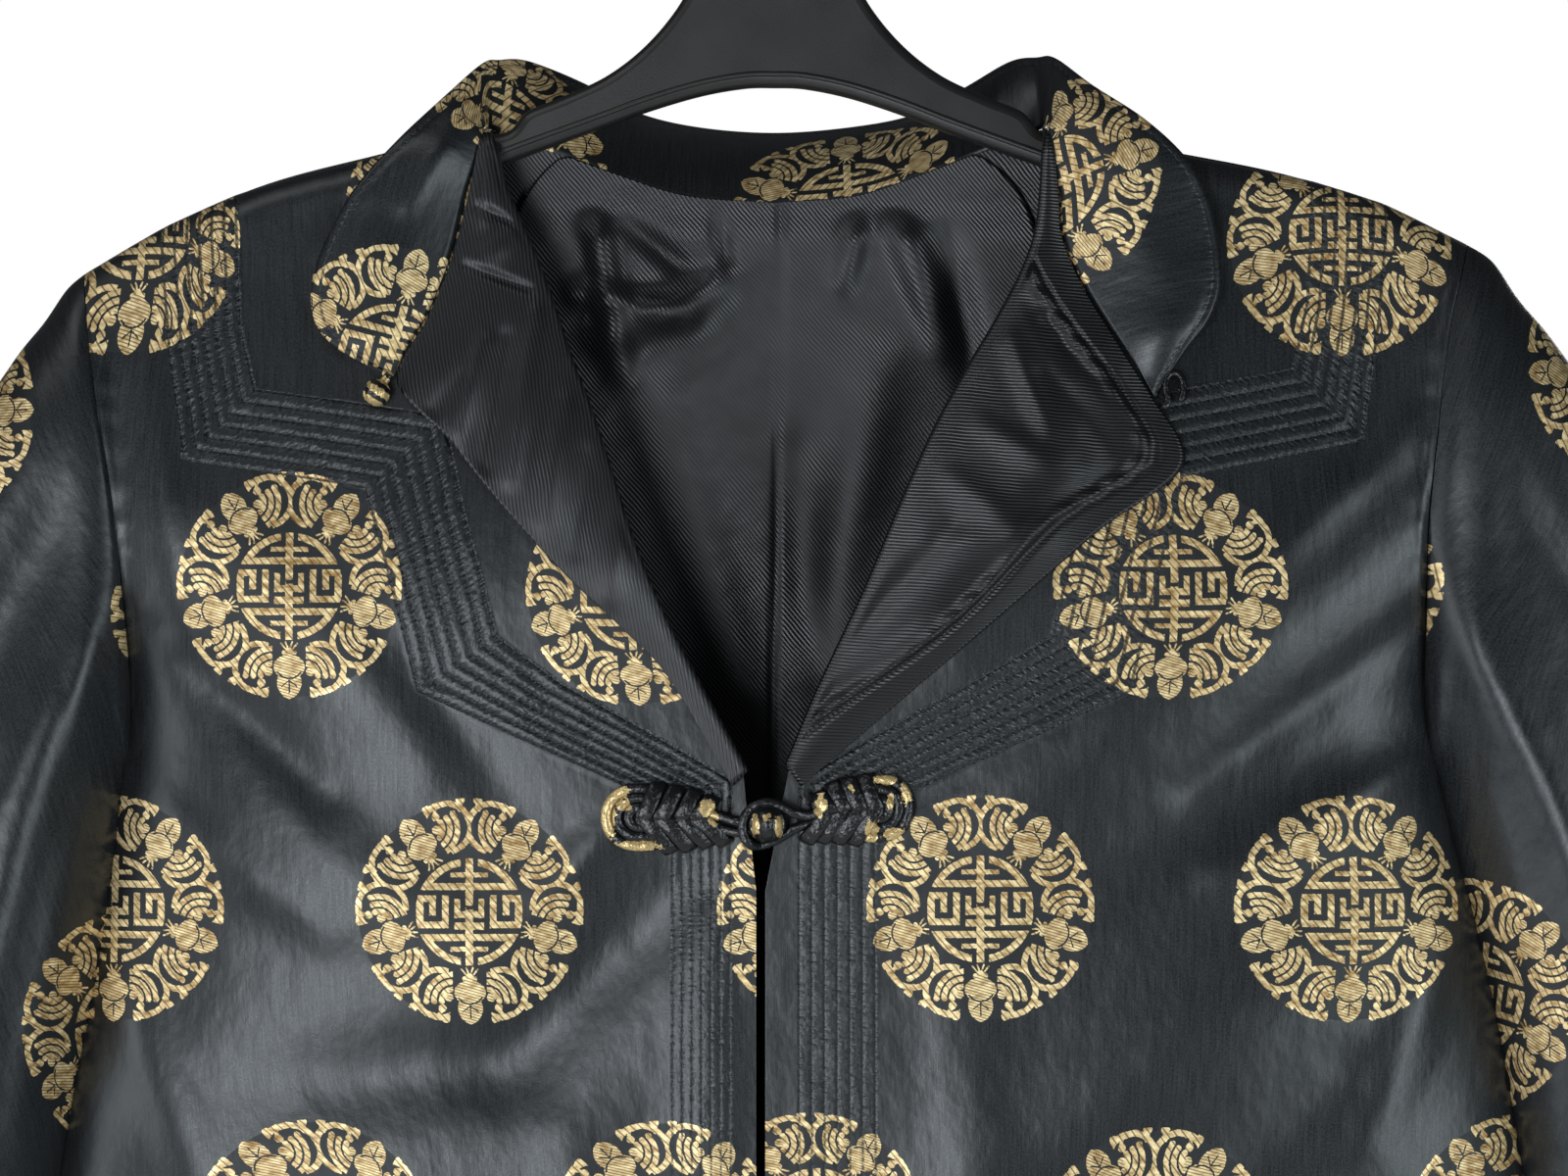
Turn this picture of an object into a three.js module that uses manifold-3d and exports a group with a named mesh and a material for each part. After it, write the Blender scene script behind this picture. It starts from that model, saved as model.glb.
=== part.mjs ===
// A black brocade changshan on a plastic hanger, worn open at the neck with its lapels turned out.
// Millimetres, +Z up. The front faces -Y and the wearer's left is on the +X side.
// The origin is the point of the hook that bears on a rail.
// Most places are given as a distance across from the centre line and a height above the chest frog.
import * as THREE from 'three';
import { mergeVertices } from 'three/addons/utils/BufferGeometryUtils.js';
import Module from 'manifold-3d';

const wasm = await Module();
wasm.setup();

// Driving dimensions.
const FROG_BELOW_HOOK = 375;
const HEM = -993;
const CLOTH = 1.6;
const FACING = 1.4;
const SEAM_GAP = 0.3;
const SHOULDER_ROUND = 9.5;
const FRONT_DEPTH = 26;
const BACK_DEPTH = 17;
const DEPTH_RUN = 170;
const ARMHOLE_DEPTH = 22;
const UNDERARM = 20;
const SLIT_TOP = -560;
const SLIT_SPREAD = 11;
const QUILT_RISE = 0.9;
const QUILT_LINES = 7;
const ROLL_RADIUS = 1.9;
const HANGER_HALF_DEPTH = 5.5;
const FROG_DROP = 190;
const FROG_COUNT = 3;
const CORD = 1.5;
const KNOT_RADIUS = 6.2;
const KNOT_ACROSS = -2.3;

// A short table: the named columns, then one row for each section.
function table(columns, rows) {
  const names = columns.split(' ');
  return rows.map(row => Object.fromEntries(names.map((name, k) => [name, row[k]])));
}

const lerp = THREE.MathUtils.lerp;
const clamp = THREE.MathUtils.clamp;
const smooth = (value, from, to) => THREE.MathUtils.smoothstep(value, from, to);

// Reads a column of a table at a value of its key, which falls or rises along the table.
function read(rows, key, value, column) {
  const rising = rows[rows.length - 1][key] > rows[0][key] ? 1 : -1;
  let k = 0;
  while (k < rows.length - 2 && (value - rows[k + 1][key]) * rising > 0) k += 1;
  const share = (value - rows[k][key]) / (rows[k + 1][key] - rows[k][key]);
  return lerp(rows[k][column], rows[k + 1][column], clamp(share, 0, 1));
}

// The shoulder seam, the armhole with the side seam below it, and the lapel of each side.
// A lapel row joins a point of its roll to the point of its outer edge straight across the cloth.
const RIGHT = {
  name: 'right',
  sign: 1,
  edge: -3,
  shoulder: table('across height', [[0, 247], [90, 232], [133, 224], [177, 215], [210, 204.5], [235, 192]]),
  side: table('height across', [
    [192, 235], [164, 228], [125, 223], [89, 220], [49, 221], [20, 225], [-19, 234], [-67, 246],
    [-106, 253], [-300, 276], [-600, 305], [HEM, 330],
  ]),
  lapel: table('rollAcross rollHeight edgeAcross edgeHeight', [
    [3, 17, 9, 9], [13, 41, 40, 36], [29, 75, 79, 69], [42, 106, 108, 94], [53, 130, 138, 119],
    [64, 150, 127, 140], [73, 165, 115, 159], [82, 182, 104, 177], [87, 196, 97, 194], [89, 212, 96, 208],
  ]),
};
const LEFT = {
  name: 'left',
  sign: -1,
  edge: 6,
  shoulder: table('across height', [[0, 247], [96, 232], [133, 223], [177, 211], [216, 193], [234, 182]]),
  side: table('height across', [
    [182, 234], [134, 228], [89, 223], [46, 220], [20, 222], [-12, 225], [-62, 232], [-90, 238],
    [-121, 243], [-300, 268], [-600, 301], [HEM, 330],
  ]),
  lapel: table('rollAcross rollHeight edgeAcross edgeHeight', [
    [8, 15, 14, 9], [27, 50, 35, 45], [37, 70, 51, 62], [46, 92, 70, 80], [54, 117, 92, 104],
    [61, 138, 109, 125], [67, 153, 127, 146], [74, 174, 117, 166], [81, 192, 109, 186], [90, 213, 103, 210],
  ]),
};

const shoulderHeight = (side, across) => read(side.shoulder, 'across', Math.abs(across), 'height');
const sideAcross = (side, height) => read(side.side, 'height', height, 'across');
const tipHeight = side => side.side[0].height;

// Heights of the cloth's rows at the armhole, as shares of the way from the shoulder tip to the underarm.
const ARMHOLE_SHARES = [0, 0.008, 0.025, 0.065, 0.16, 0.33, 0.5, 0.62, 0.77, 0.9, 1];
// How far the first rows lie below the shoulder seam, where the cloth rounds over the hanger.
const SHOULDER_DROPS = [0, 0.8, 2.8, SHOULDER_ROUND];
const armholeHeight = (side, share) => lerp(tipHeight(side), UNDERARM, share);
const armholeBulge = share => Math.sqrt(1 - Math.abs(1 - 2 * clamp(share, 0, 1)) ** 2.6);

// Broad soft folds: each runs from one point to another and swells the cloth outwards, or inwards if its
// rise is negative.
const FRONT_FOLDS = {
  right: table('fromAcross fromHeight toAcross toHeight width rise', [
    [215, 92, 80, 6, 17, 4], [222, 48, 92, -34, 15, -3.5],
    [205, -40, 70, -120, 22, 3.5], [110, 150, 60, 60, 16, 2.5],
  ]),
  left: table('fromAcross fromHeight toAcross toHeight width rise', [
    [30, -22, 90, -84, 17, -4], [90, -84, 165, -92, 17, -3.5],
    [205, 110, 120, 20, 18, 3], [190, 10, 100, -50, 18, 3.5],
  ]),
};
// Hanging folds deepen from the waist down to the hem.
const HANGING_FOLDS = table('across width rise', [
  [62, 24, 7], [110, 22, -6], [160, 26, 8], [212, 24, -7], [262, 26, 8], [300, 16, -5],
]);

function bump(distance, width) {
  return Math.exp(-((distance / width) ** 2));
}

function foldRise(folds, across, height) {
  let rise = 0;
  for (const fold of folds) {
    const run = new THREE.Vector2(fold.toAcross - fold.fromAcross, fold.toHeight - fold.fromHeight);
    const offset = new THREE.Vector2(across - fold.fromAcross, height - fold.fromHeight);
    const share = clamp(offset.dot(run) / run.lengthSq(), 0, 1);
    const beside = offset.clone().addScaledVector(run, -share).length();
    rise += fold.rise * bump(beside, fold.width) * (0.6 + 0.4 * Math.sin(Math.PI * share));
  }
  return rise;
}

function hangingRise(across, height, sign) {
  const depth = smooth(-height, 120, -HEM);
  const spread = lerp(0.8, 1, depth);
  let rise = 0;
  for (const fold of HANGING_FOLDS) {
    rise += fold.rise * bump(Math.abs(across) - (fold.across + 8 * sign) * spread, fold.width);
  }
  return rise * depth;
}

// How far the outer face of a front or back stands from the middle plane of the garment.
function clothDepth(side, across, height, fullDepth, folds) {
  const below = Math.max(shoulderHeight(side, across) - height, 0);
  const round = Math.sqrt(1 - (1 - Math.min(below / SHOULDER_ROUND, 1)) ** 2);
  const middle = SHOULDER_ROUND * round + fullDepth * smooth(below, 0, DEPTH_RUN);
  const share = below / (shoulderHeight(side, across) - UNDERARM);
  const armhole = height > UNDERARM ? ARMHOLE_DEPTH * armholeBulge(share) : 0;
  const slit = SLIT_SPREAD * smooth(-height, -SLIT_TOP, -HEM);
  const edge = Math.max(armhole, slit) + SEAM_GAP / 2;
  const reach = clamp(Math.abs(across) / sideAcross(side, height), 0, 1);
  const inward = Math.sqrt(1 - reach ** 4);
  const calm = smooth(below, 10, 60);
  const waves = (foldRise(folds, across, height) + hangingRise(across, height, side.sign)) * calm;
  return lerp(edge, middle + SEAM_GAP / 2 + waves, inward);
}

const frontDepth = (side, across, height) =>
  clothDepth(side, across, height, FRONT_DEPTH, FRONT_FOLDS[side.name]);
const backDepth = (side, across, height) => clothDepth(side, across, height, BACK_DEPTH, []);

// A point given by its distance across on its own side, its depth and its height above the frog.
function place(side, across, depth, height) {
  return new THREE.Vector3(side.sign * across, depth, height - FROG_BELOW_HOOK);
}

// Materials.
const satin = new THREE.MeshStandardMaterial({ color: 0x23272c, roughness: 0.38, metalness: 0 });
const twill = new THREE.MeshStandardMaterial({ color: 0x17191f, roughness: 0.55, metalness: 0 });
const cordSatin = new THREE.MeshStandardMaterial({ color: 0x1b1c20, roughness: 0.4, metalness: 0 });
const plastic = new THREE.MeshStandardMaterial({ color: 0x262628, roughness: 0.45, metalness: 0 });

const changshan = new THREE.Group();

function addPiece(name, geometry, material) {
  const mesh = new THREE.Mesh(geometry, material);
  mesh.name = name;
  changshan.add(mesh);
}

// Normals of a grid of points, from the neighbours of each point along the row and along the column.
function gridNormals(grid, wraps) {
  const last = grid.length - 1;
  return grid.map((row, r) => row.map((point, c) => {
    const columns = row.length;
    const left = wraps ? (c + columns - 1) % columns : Math.max(c - 1, 0);
    const right = wraps ? (c + 1) % columns : Math.min(c + 1, columns - 1);
    const across = row[right].clone().sub(row[left]);
    const down = grid[Math.min(r + 1, last)][c].clone().sub(grid[Math.max(r - 1, 0)][c]);
    return across.cross(down).normalize();
  }));
}

// A closed cloth wall between an outer and an inner grid of points.
// The inner grid may keep only some of the outer columns: kept names them by number.
function wall(outer, inner, kept, wraps) {
  const places = [];
  const faces = [];
  const number = grid => grid.map(row => row.map(point => places.push(point) - 1));
  const out = number(outer);
  const inn = number(inner);
  const rows = out.length - 1;
  const quad = (a, b, c, d) => faces.push([a, b, c], [a, c, d]);
  const wide = out[0].length;
  const narrow = inn[0].length;
  for (let r = 0; r < rows; r += 1) {
    for (let c = 0; c < (wraps ? wide : wide - 1); c += 1) {
      const next = (c + 1) % wide;
      quad(out[r][c], out[r][next], out[r + 1][next], out[r + 1][c]);
    }
    for (let c = 0; c < (wraps ? narrow : narrow - 1); c += 1) {
      const next = (c + 1) % narrow;
      quad(inn[r][next], inn[r][c], inn[r + 1][c], inn[r + 1][next]);
    }
    if (!wraps) {
      quad(inn[r][0], out[r][0], out[r + 1][0], inn[r + 1][0]);
      quad(out[r][wide - 1], inn[r][narrow - 1], inn[r + 1][narrow - 1], out[r + 1][wide - 1]);
    }
  }
  const rim = (outRow, innRow, flip) => {
    const face = (a, b, c) => faces.push(flip ? [a, c, b] : [a, b, c]);
    for (let k = 0; k < (wraps ? narrow : narrow - 1); k += 1) {
      const from = kept[k];
      const to = k + 1 < narrow ? kept[k + 1] : wide;
      for (let c = from; c < to; c += 1) face(innRow[k], outRow[(c + 1) % wide], outRow[c]);
      face(innRow[k], innRow[(k + 1) % narrow], outRow[to % wide]);
    }
  };
  rim(out[0], inn[0], false);
  rim(out[rows], inn[rows], true);
  return facesOutward(places, faces);
}

// The closed geometry of these points and faces, with every face turned to point out.
function facesOutward(places, faces) {
  let volume = 0;
  for (const [a, b, c] of faces) {
    volume += places[a].dot(places[b].clone().cross(places[c]));
  }
  const index = faces.flatMap(([a, b, c]) => (volume > 0 ? [a, b, c] : [a, c, b]));
  const geometry = new THREE.BufferGeometry();
  const position = places.flatMap(point => point.toArray());
  geometry.setAttribute('position', new THREE.Float32BufferAttribute(position, 3));
  geometry.setIndex(index);
  return geometry;
}

// The same wall with its inner face set back along the normals. Where a seam lies in a plane, pin names
// that plane's axis for a row and column, and the wall's rim stays in it.
function clothWall(outer, thickness, options) {
  const { kept = outer[0].map((_, c) => c), wraps = false, relief = null, pin = () => null } = options;
  const normals = gridNormals(outer, wraps);
  const middle = outer[Math.floor(outer.length / 2)];
  const centre = middle[Math.floor(middle.length / 2)];
  const sense = Math.sign(normals[Math.floor(outer.length / 2)][Math.floor(middle.length / 2)]
    .dot(options.outward(centre)));
  const pointed = normals.map((row, r) => row.map((normal, c) => {
    const out = normal.clone().multiplyScalar(sense);
    const axis = pin(r, c);
    if (axis) out[axis] = 0;
    return out.normalize();
  }));
  const raised = outer.map((row, r) => row.map((point, c) =>
    point.clone().addScaledVector(pointed[r][c], relief ? relief(r, c) : 0)));
  const inner = outer.map((row, r) => kept.map(c =>
    row[c].clone().addScaledVector(pointed[r][c], -thickness)));
  return wall(raised, inner, kept, wraps);
}

const LAPEL_ROWS = 18;

// A point on the roll line of a lapel, the point straight across on its edge, and the way between them.
function lapelLine(side, lapelRow) {
  const last = side.lapel.length - 1;
  const share = (lapelRow * last) / LAPEL_ROWS;
  const k = Math.min(Math.floor(share), last - 1);
  const part = share - k;
  const value = column => lerp(side.lapel[k][column], side.lapel[k + 1][column], part);
  const roll = new THREE.Vector2(value('rollAcross'), value('rollHeight'));
  const edge = new THREE.Vector2(value('edgeAcross'), value('edgeHeight'));
  return { roll, edge, way: edge.clone().sub(roll).normalize(), width: edge.distanceTo(roll) };
}

// The fronts. Columns run from the side seam to a stepped quilted band, across its stitch lines, and on to
// the roll of the lapel and the front edge. Each row gives the two borders of the band and the row of the
// lapel that it ends at.
const BAND = table('armhole outerAcross outerHeight innerAcross innerHeight roll', [
  [0.16, 204, 165, 180, 172, 18],
  [0.33, 198, 125, 175, 149, 16],
  [0.5, 168, 119, 143, 143, 14],
  [0.62, 137, 113, 111, 137, 12],
  [0.77, 130, 86, 104, 103, 10],
  [0.9, 124, 62, 98, 80, 8],
  [1, 119, 41, 93, 59, 6],
]);
const BAND_TURN = table('sideHeight outerAcross outerHeight innerAcross innerHeight roll', [
  [-5, 91, 28, 65, 43, 4],
  [-30, 62, 15, 36, 27, 2],
  [-55, 34, 2, 8.5, 11, 0],
]);
const BAND_AT_SHOULDER = { outer: 207, inner: 182 };
const EDGE_BAND = { outer: 34, inner: 8.5 };
const BELOW_FROG = table('sideHeight bandHeight', [
  [-80, -26], [-104, -58], [-150, -118], [-210, -196], [-296, -290],
]);
const SKIRT_ROWS = 9;
const SIDE_SHARES = [0, 0.02, 0.07, 0.16, 0.28, 0.42, 0.56, 0.7, 0.85];
const BAND_CELLS = 2 * (QUILT_LINES - 1);
const INNER_SHARES = [0.34, 0.67, 1];
const ROLL_BACK = ROLL_RADIUS + FACING / 2 + 2 * SEAM_GAP;

function frontRow(side, sidePoint, bandOuter, bandInner, innerPoint) {
  const row = SIDE_SHARES.map(share => sidePoint.clone().lerp(bandOuter, share));
  for (let c = 0; c <= BAND_CELLS; c += 1) row.push(bandOuter.clone().lerp(bandInner, c / BAND_CELLS));
  for (const share of INNER_SHARES) row.push(bandInner.clone().lerp(innerPoint, share));
  return row;
}

function frontPlan(side) {
  const at = (across, height) => new THREE.Vector2(across, height);
  const seam = SEAM_GAP / 2;
  const neck = side.shoulder[1].across + 1;
  const rows = SHOULDER_DROPS.map((below, r) => {
    const height = armholeHeight(side, ARMHOLE_SHARES[r]);
    const onShoulder = across => at(across, shoulderHeight(side, across) - below);
    return frontRow(side, at(sideAcross(side, height) - seam, height),
      onShoulder(BAND_AT_SHOULDER.outer), onShoulder(BAND_AT_SHOULDER.inner), onShoulder(neck));
  });
  const onRoll = lapelRow => {
    const line = lapelLine(side, lapelRow);
    return line.roll.clone().addScaledVector(line.way, ROLL_BACK);
  };
  for (const band of BAND) {
    const height = armholeHeight(side, band.armhole);
    const lowered = (tipHeight(side) - tipHeight(RIGHT)) * (1 - band.armhole);
    rows.push(frontRow(side, at(sideAcross(side, height) - seam, height),
      at(band.outerAcross, band.outerHeight + lowered), at(band.innerAcross, band.innerHeight + lowered),
      onRoll(band.roll)));
  }
  for (const band of BAND_TURN) {
    rows.push(frontRow(side, at(sideAcross(side, band.sideHeight), band.sideHeight),
      at(band.outerAcross, band.outerHeight),
      at(band.innerAcross + Math.max(side.edge, 0), band.innerHeight),
      onRoll(band.roll)));
  }
  const lower = [...BELOW_FROG];
  for (let k = 1; k <= SKIRT_ROWS; k += 1) {
    const height = lerp(BELOW_FROG[BELOW_FROG.length - 1].sideHeight, HEM, k / SKIRT_ROWS);
    lower.push({ sideHeight: height, bandHeight: height });
  }
  for (const { sideHeight, bandHeight } of lower) {
    rows.push(frontRow(side, at(sideAcross(side, sideHeight), sideHeight),
      at(EDGE_BAND.outer, bandHeight), at(EDGE_BAND.inner + Math.max(side.edge, 0), bandHeight),
      at(side.edge, bandHeight)));
  }
  return rows;
}

function front(side) {
  const plan = frontPlan(side);
  const outer = plan.map(row => row.map(({ x, y }) => place(side, x, -frontDepth(side, x, y), y)));
  const bandStart = SIDE_SHARES.length;
  const relief = (r, c) => {
    const line = c - bandStart;
    return line > 0 && line < BAND_CELLS && line % 2 === 1 ? QUILT_RISE : 0;
  };
  const kept = plan[0].map((_, c) => c).filter(c => {
    const line = c - bandStart;
    return line <= 0 || line >= BAND_CELLS || line === BAND_CELLS / 2;
  });
  const pin = (r, c) => {
    if (r === 0) return 'y';
    if (c > 0) return null;
    return r < ARMHOLE_SHARES.length - 1 ? 'x' : 'y';
  };
  const outward = () => new THREE.Vector3(0, -1, 0);
  return clothWall(outer, CLOTH, { kept, relief, pin, outward });
}

// The back, in one piece from side seam to side seam, with its hollowed neck.
const BACK_SHARES = [1, 0.985, 0.94, 0.85, 0.74, 0.6, 0.49, 0.396, 0.372, 0.29, 0.15];
const BACK_NECK = table('across height', [[0, 207], [32, 210], [53, 217], [69, 223], [93, 231.6]]);
const BACK_ROWS = [-8, -50, -106, -190, -296, -400, -510, -620, -730, -840, -920, HEM];

function backTop(side, across) {
  const neck = side.shoulder[1].across;
  if (across < neck) return read(BACK_NECK, 'across', across * BACK_NECK[4].across / neck, 'height');
  return shoulderHeight(side, across);
}

function backColumn(side, share) {
  const points = [];
  const add = (across, height) => points.push(place(side, across, backDepth(side, across, height), height));
  const tip = tipHeight(side);
  ARMHOLE_SHARES.forEach((armhole, r) => {
    const sideHeight = armholeHeight(side, armhole);
    const across = share * (sideAcross(side, sideHeight) - SEAM_GAP / 2);
    const top = backTop(side, share * sideAcross(side, tip));
    const fade = 1 - smooth(armhole, 0, 1);
    const below = SHOULDER_DROPS[r];
    const turned = r < SHOULDER_DROPS.length ? top - below : lerp(sideHeight, top - tip + sideHeight, fade);
    const level = share === 1 ? sideHeight : turned;
    add(r < 1 ? share * (sideAcross(side, tip) - SEAM_GAP / 2) : across, level);
  });
  for (const height of BACK_ROWS) add(share * sideAcross(side, height), height);
  return points;
}

function back() {
  const columns = BACK_SHARES.map(share => backColumn(LEFT, share));
  columns.push(backColumn(RIGHT, 0));
  for (const share of [...BACK_SHARES].reverse()) columns.push(backColumn(RIGHT, share));
  const outer = columns[0].map((_, r) => columns.map(column => column[r]));
  const last = columns.length - 1;
  const pin = (r, c) => {
    if (r === 0) return 'y';
    if (c > 0 && c < last) return null;
    return r < ARMHOLE_SHARES.length - 1 ? 'x' : 'y';
  };
  return clothWall(outer, CLOTH, { pin, outward: () => new THREE.Vector3(0, 1, 0) });
}

// The back lining, where the open neck shows it: a wall just inside the back.
const LINING = table('height across', [[206, 70], [170, 86], [120, 92], [60, 80], [0, 68], [-40, 62]]);
const LINING_ROWS = [0, 6, 20, 50, 85, 120, 160, 205, 245];
const LINING_SHARES = [-1, -0.72, -0.45, -0.22, 0, 0.22, 0.45, 0.72, 1];

function liningBack() {
  const inset = CLOTH + 2 * SEAM_GAP;
  const outer = LINING_ROWS.map(below => LINING_SHARES.map(share => {
    const side = share < 0 ? LEFT : RIGHT;
    const width = read(LINING, 'height', BACK_NECK[0].height - below, 'across');
    const across = Math.abs(share) * width;
    const lift = 1 - below / LINING_ROWS[LINING_ROWS.length - 1];
    const top = Math.min(backTop(side, across) - 1.5, shoulderHeight(side, across) - SHOULDER_ROUND - 5);
    const height = lerp(BACK_NECK[0].height - below, top, lift ** 2);
    return place(side, across, backDepth(side, across, height) - inset, height);
  }));
  return clothWall(outer, FACING, { outward: () => new THREE.Vector3(0, 1, 0) });
}

// A facing, the turned-out lapel: from the edge of the front it rolls over and lies back on the front.
const ROLL_ANGLES = [-90, -45, 0, 45, 90];
const LAPEL_EDGE_OUT = QUILT_RISE + SEAM_GAP + FACING / 2 + 0.2;
const LAPEL_SHARES = [0.25, 0.5, 0.75, 1];

function lapelSection(width) {
  const centre = ROLL_RADIUS + FACING / 2;
  const low = ROLL_RADIUS - CLOTH / 2;
  const section = ROLL_ANGLES.map(degrees => {
    const angle = THREE.MathUtils.degToRad(degrees);
    return { along: centre - ROLL_RADIUS * Math.cos(angle), out: low + ROLL_RADIUS * Math.sin(angle) };
  });
  const top = low + ROLL_RADIUS;
  for (const share of LAPEL_SHARES) {
    const swell = Math.min(width / 20, 2.2) * Math.sin(Math.PI * share ** 0.8);
    section.push({ along: lerp(centre, width, share), out: lerp(top, LAPEL_EDGE_OUT, share) + swell });
  }
  return section;
}

function facing(side) {
  const middle = [];
  for (let r = 0; r <= LAPEL_ROWS; r += 1) {
    const line = lapelLine(side, r);
    middle.push(lapelSection(line.width).map(({ along, out }) => {
      const point = line.roll.clone().addScaledVector(line.way, along);
      return place(side, point.x, -frontDepth(side, point.x, point.y) - out, point.y);
    }));
  }
  const normals = gridNormals(middle, false);
  const shifted = amount => middle.map((row, r) => row.map((point, c) =>
    point.clone().addScaledVector(normals[r][c], amount)));
  return wall(shifted(FACING / 2), shifted(-FACING / 2), middle[0].map((_, c) => c), false);
}

// The stand collar, laid back at both fronts and standing round the back of the neck.
// Each row joins the neck seam to the free edge. The seam runs along the lapel's edge, then over the
// shoulder and the hanger, then along the neck of the back.
const COLLAR_RIGHT = {
  onLapel: table('lapelRow topAcross topY topHeight', [
    [10, 129.5, -24.5, 142.5], [11, 138, -24.5, 155], [12, 146, -23.5, 165], [13, 150.5, -21.8, 176],
    [14, 150.5, -20.3, 187], [15, 149, -19, 197], [16, 146, -18.3, 208], [18, 138.5, -17.5, 221],
  ]),
  overShoulder: table('baseAcross baseY baseHeight topAcross topY topHeight', [
    [93.8, -11.6, 221, 125, -13, 234], [92.5, -8.8, 230.3, 108, -3, 246],
    [91.8, 1, 233.4, 96, 10, 256], [90.8, 6.6, 232, 90, 17, 257],
  ]),
  onBack: table('across topAcross topY topHeight', [
    [84, 81, 24, 256], [66, 64, 36, 247], [50, 48, 43, 239], [28, 27, 47, 235], [0, 0, 48, 233],
  ]),
};
const COLLAR_LEFT = {
  onLapel: table('lapelRow topAcross topY topHeight', [
    [12, 129.5, -24.5, 147.5], [13, 144, -24.5, 154], [14, 153, -22.8, 162], [15, 156, -21, 172],
    [16, 154.5, -19.5, 184], [17, 149, -18.3, 197], [18, 141, -17.2, 211],
  ]),
  overShoulder: table('baseAcross baseY baseHeight topAcross topY topHeight', [
    [100.5, -11.8, 221, 127, -13.5, 227], [98.5, -8.8, 229.8, 113, -4, 241],
    [97.6, 1, 233.2, 100, 10, 254], [96.6, 6.8, 231.8, 94, 17, 256],
  ]),
  onBack: table('across topAcross topY topHeight', [
    [87, 84, 24, 256], [66, 65, 35, 249], [50, 48, 43, 240], [28, 27, 47, 235],
  ]),
};
const COLLAR_SHARES = [0, 0.3, 0.65, 1];
const COLLAR_SWELL = 3;
const COLLAR_SEAM = 0.9;

function collarRow(side, base, row) {
  const top = place(side, row.topAcross, row.topY, row.topHeight);
  const swell = COLLAR_SWELL * smooth(base.distanceTo(top), 8, 30);
  const laidBack = row.topY < 0;
  return COLLAR_SHARES.map(share => {
    const lift = swell * Math.sin(Math.PI * share);
    const shift = laidBack ? new THREE.Vector3(0, -lift, lift / 2) : new THREE.Vector3(0, -lift / 2, lift);
    return base.clone().lerp(top, share).add(shift);
  });
}

function collarRows(side, parts) {
  const fromLapel = parts.onLapel.map(row => {
    const line = lapelLine(side, row.lapelRow);
    const { x, y } = line.edge.clone().addScaledVector(line.way, COLLAR_SEAM);
    return collarRow(side, place(side, x, -frontDepth(side, x, y) - LAPEL_EDGE_OUT, y), row);
  });
  const fromShoulder = parts.overShoulder.map(row =>
    collarRow(side, place(side, row.baseAcross, row.baseY, row.baseHeight), row));
  const fromBack = parts.onBack.map(row => {
    const neck = backTop(side, row.across);
    const depth = backDepth(side, row.across, neck) - CLOTH / 2;
    return collarRow(side, place(side, row.across, depth, neck + CLOTH / 2 + 2 * SEAM_GAP), row);
  });
  return [...fromLapel, ...fromShoulder, ...fromBack];
}

function collar() {
  const middle = [...collarRows(LEFT, COLLAR_LEFT), ...collarRows(RIGHT, COLLAR_RIGHT).reverse()];
  const normals = gridNormals(middle, false);
  const shifted = amount => middle.map((row, r) => row.map((point, c) =>
    point.clone().addScaledVector(normals[r][c], amount)));
  return wall(shifted(CLOTH / 2), shifted(-CLOTH / 2), COLLAR_SHARES.map((_, c) => c), false);
}

// The sleeves: open tubes. Each row is a ring, given by its uppermost or outermost point, the point under
// the arm, and its half depth. The first ring is the armhole.
const SLEEVE = table('outerAcross outerHeight underAcross underHeight depth bow', [
  [244, 186, 230.5, 12, 27, 8],
  [253, 173, 236, 2, 31, 6],
  [266, 157, 241, -14, 34, 4],
  [288, 124, 246.5, -34, 37, 2],
  [311, 78, 251.5, -58, 39, 0],
  [329, 18, 258, -92, 40, 0],
  [342, -50, 263.5, -130, 39, 0],
  [354, -130, 270, -190, 37, 0],
  [367, -222, 278, -262, 35, 0],
  [380, -312, 287, -332, 32, 0],
  [391, -394, 297, -398, 30, 0],
]);
const SLEEVE_FOLDS = table('share reach rise from to', [
  [0.36, 0.13, -6, 3, 11], [0.66, 0.1, 5, 2, 9], [0.14, 0.09, -3.5, 5, 11],
]);

function sleeveRing(side, ring, r) {
  const tipDrop = (tipHeight(side) - tipHeight(RIGHT)) * (1 - smooth(r, 0, 6));
  const shift = sideAcross(side, ring.underHeight) - sideAcross(RIGHT, ring.underHeight);
  const points = [];
  const half = (share, y) => {
    const across = lerp(ring.outerAcross, ring.underAcross, share) - ring.bow * Math.sin(Math.PI * share);
    const height = lerp(ring.outerHeight + tipDrop, ring.underHeight, share);
    points.push(place(side, across + shift, y, height));
  };
  ARMHOLE_SHARES.forEach(share => half(share, -ring.depth * armholeBulge(share) - ringFold(share, r)));
  const behind = ARMHOLE_SHARES.slice(1, -1).reverse();
  behind.forEach(share => half(share, ring.depth * armholeBulge(share) + 0.7 * ringFold(share, r)));
  return points;
}

function ringFold(share, r) {
  let rise = 0;
  for (const fold of SLEEVE_FOLDS) {
    const fades = smooth(r, fold.from - 2, fold.from + 1) * (1 - smooth(r, fold.to - 1, fold.to + 2));
    rise += fold.rise * bump(share - fold.share, fold.reach) * fades;
  }
  return rise * smooth(share, 0, 0.1) * (1 - smooth(share, 0.9, 1));
}

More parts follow.
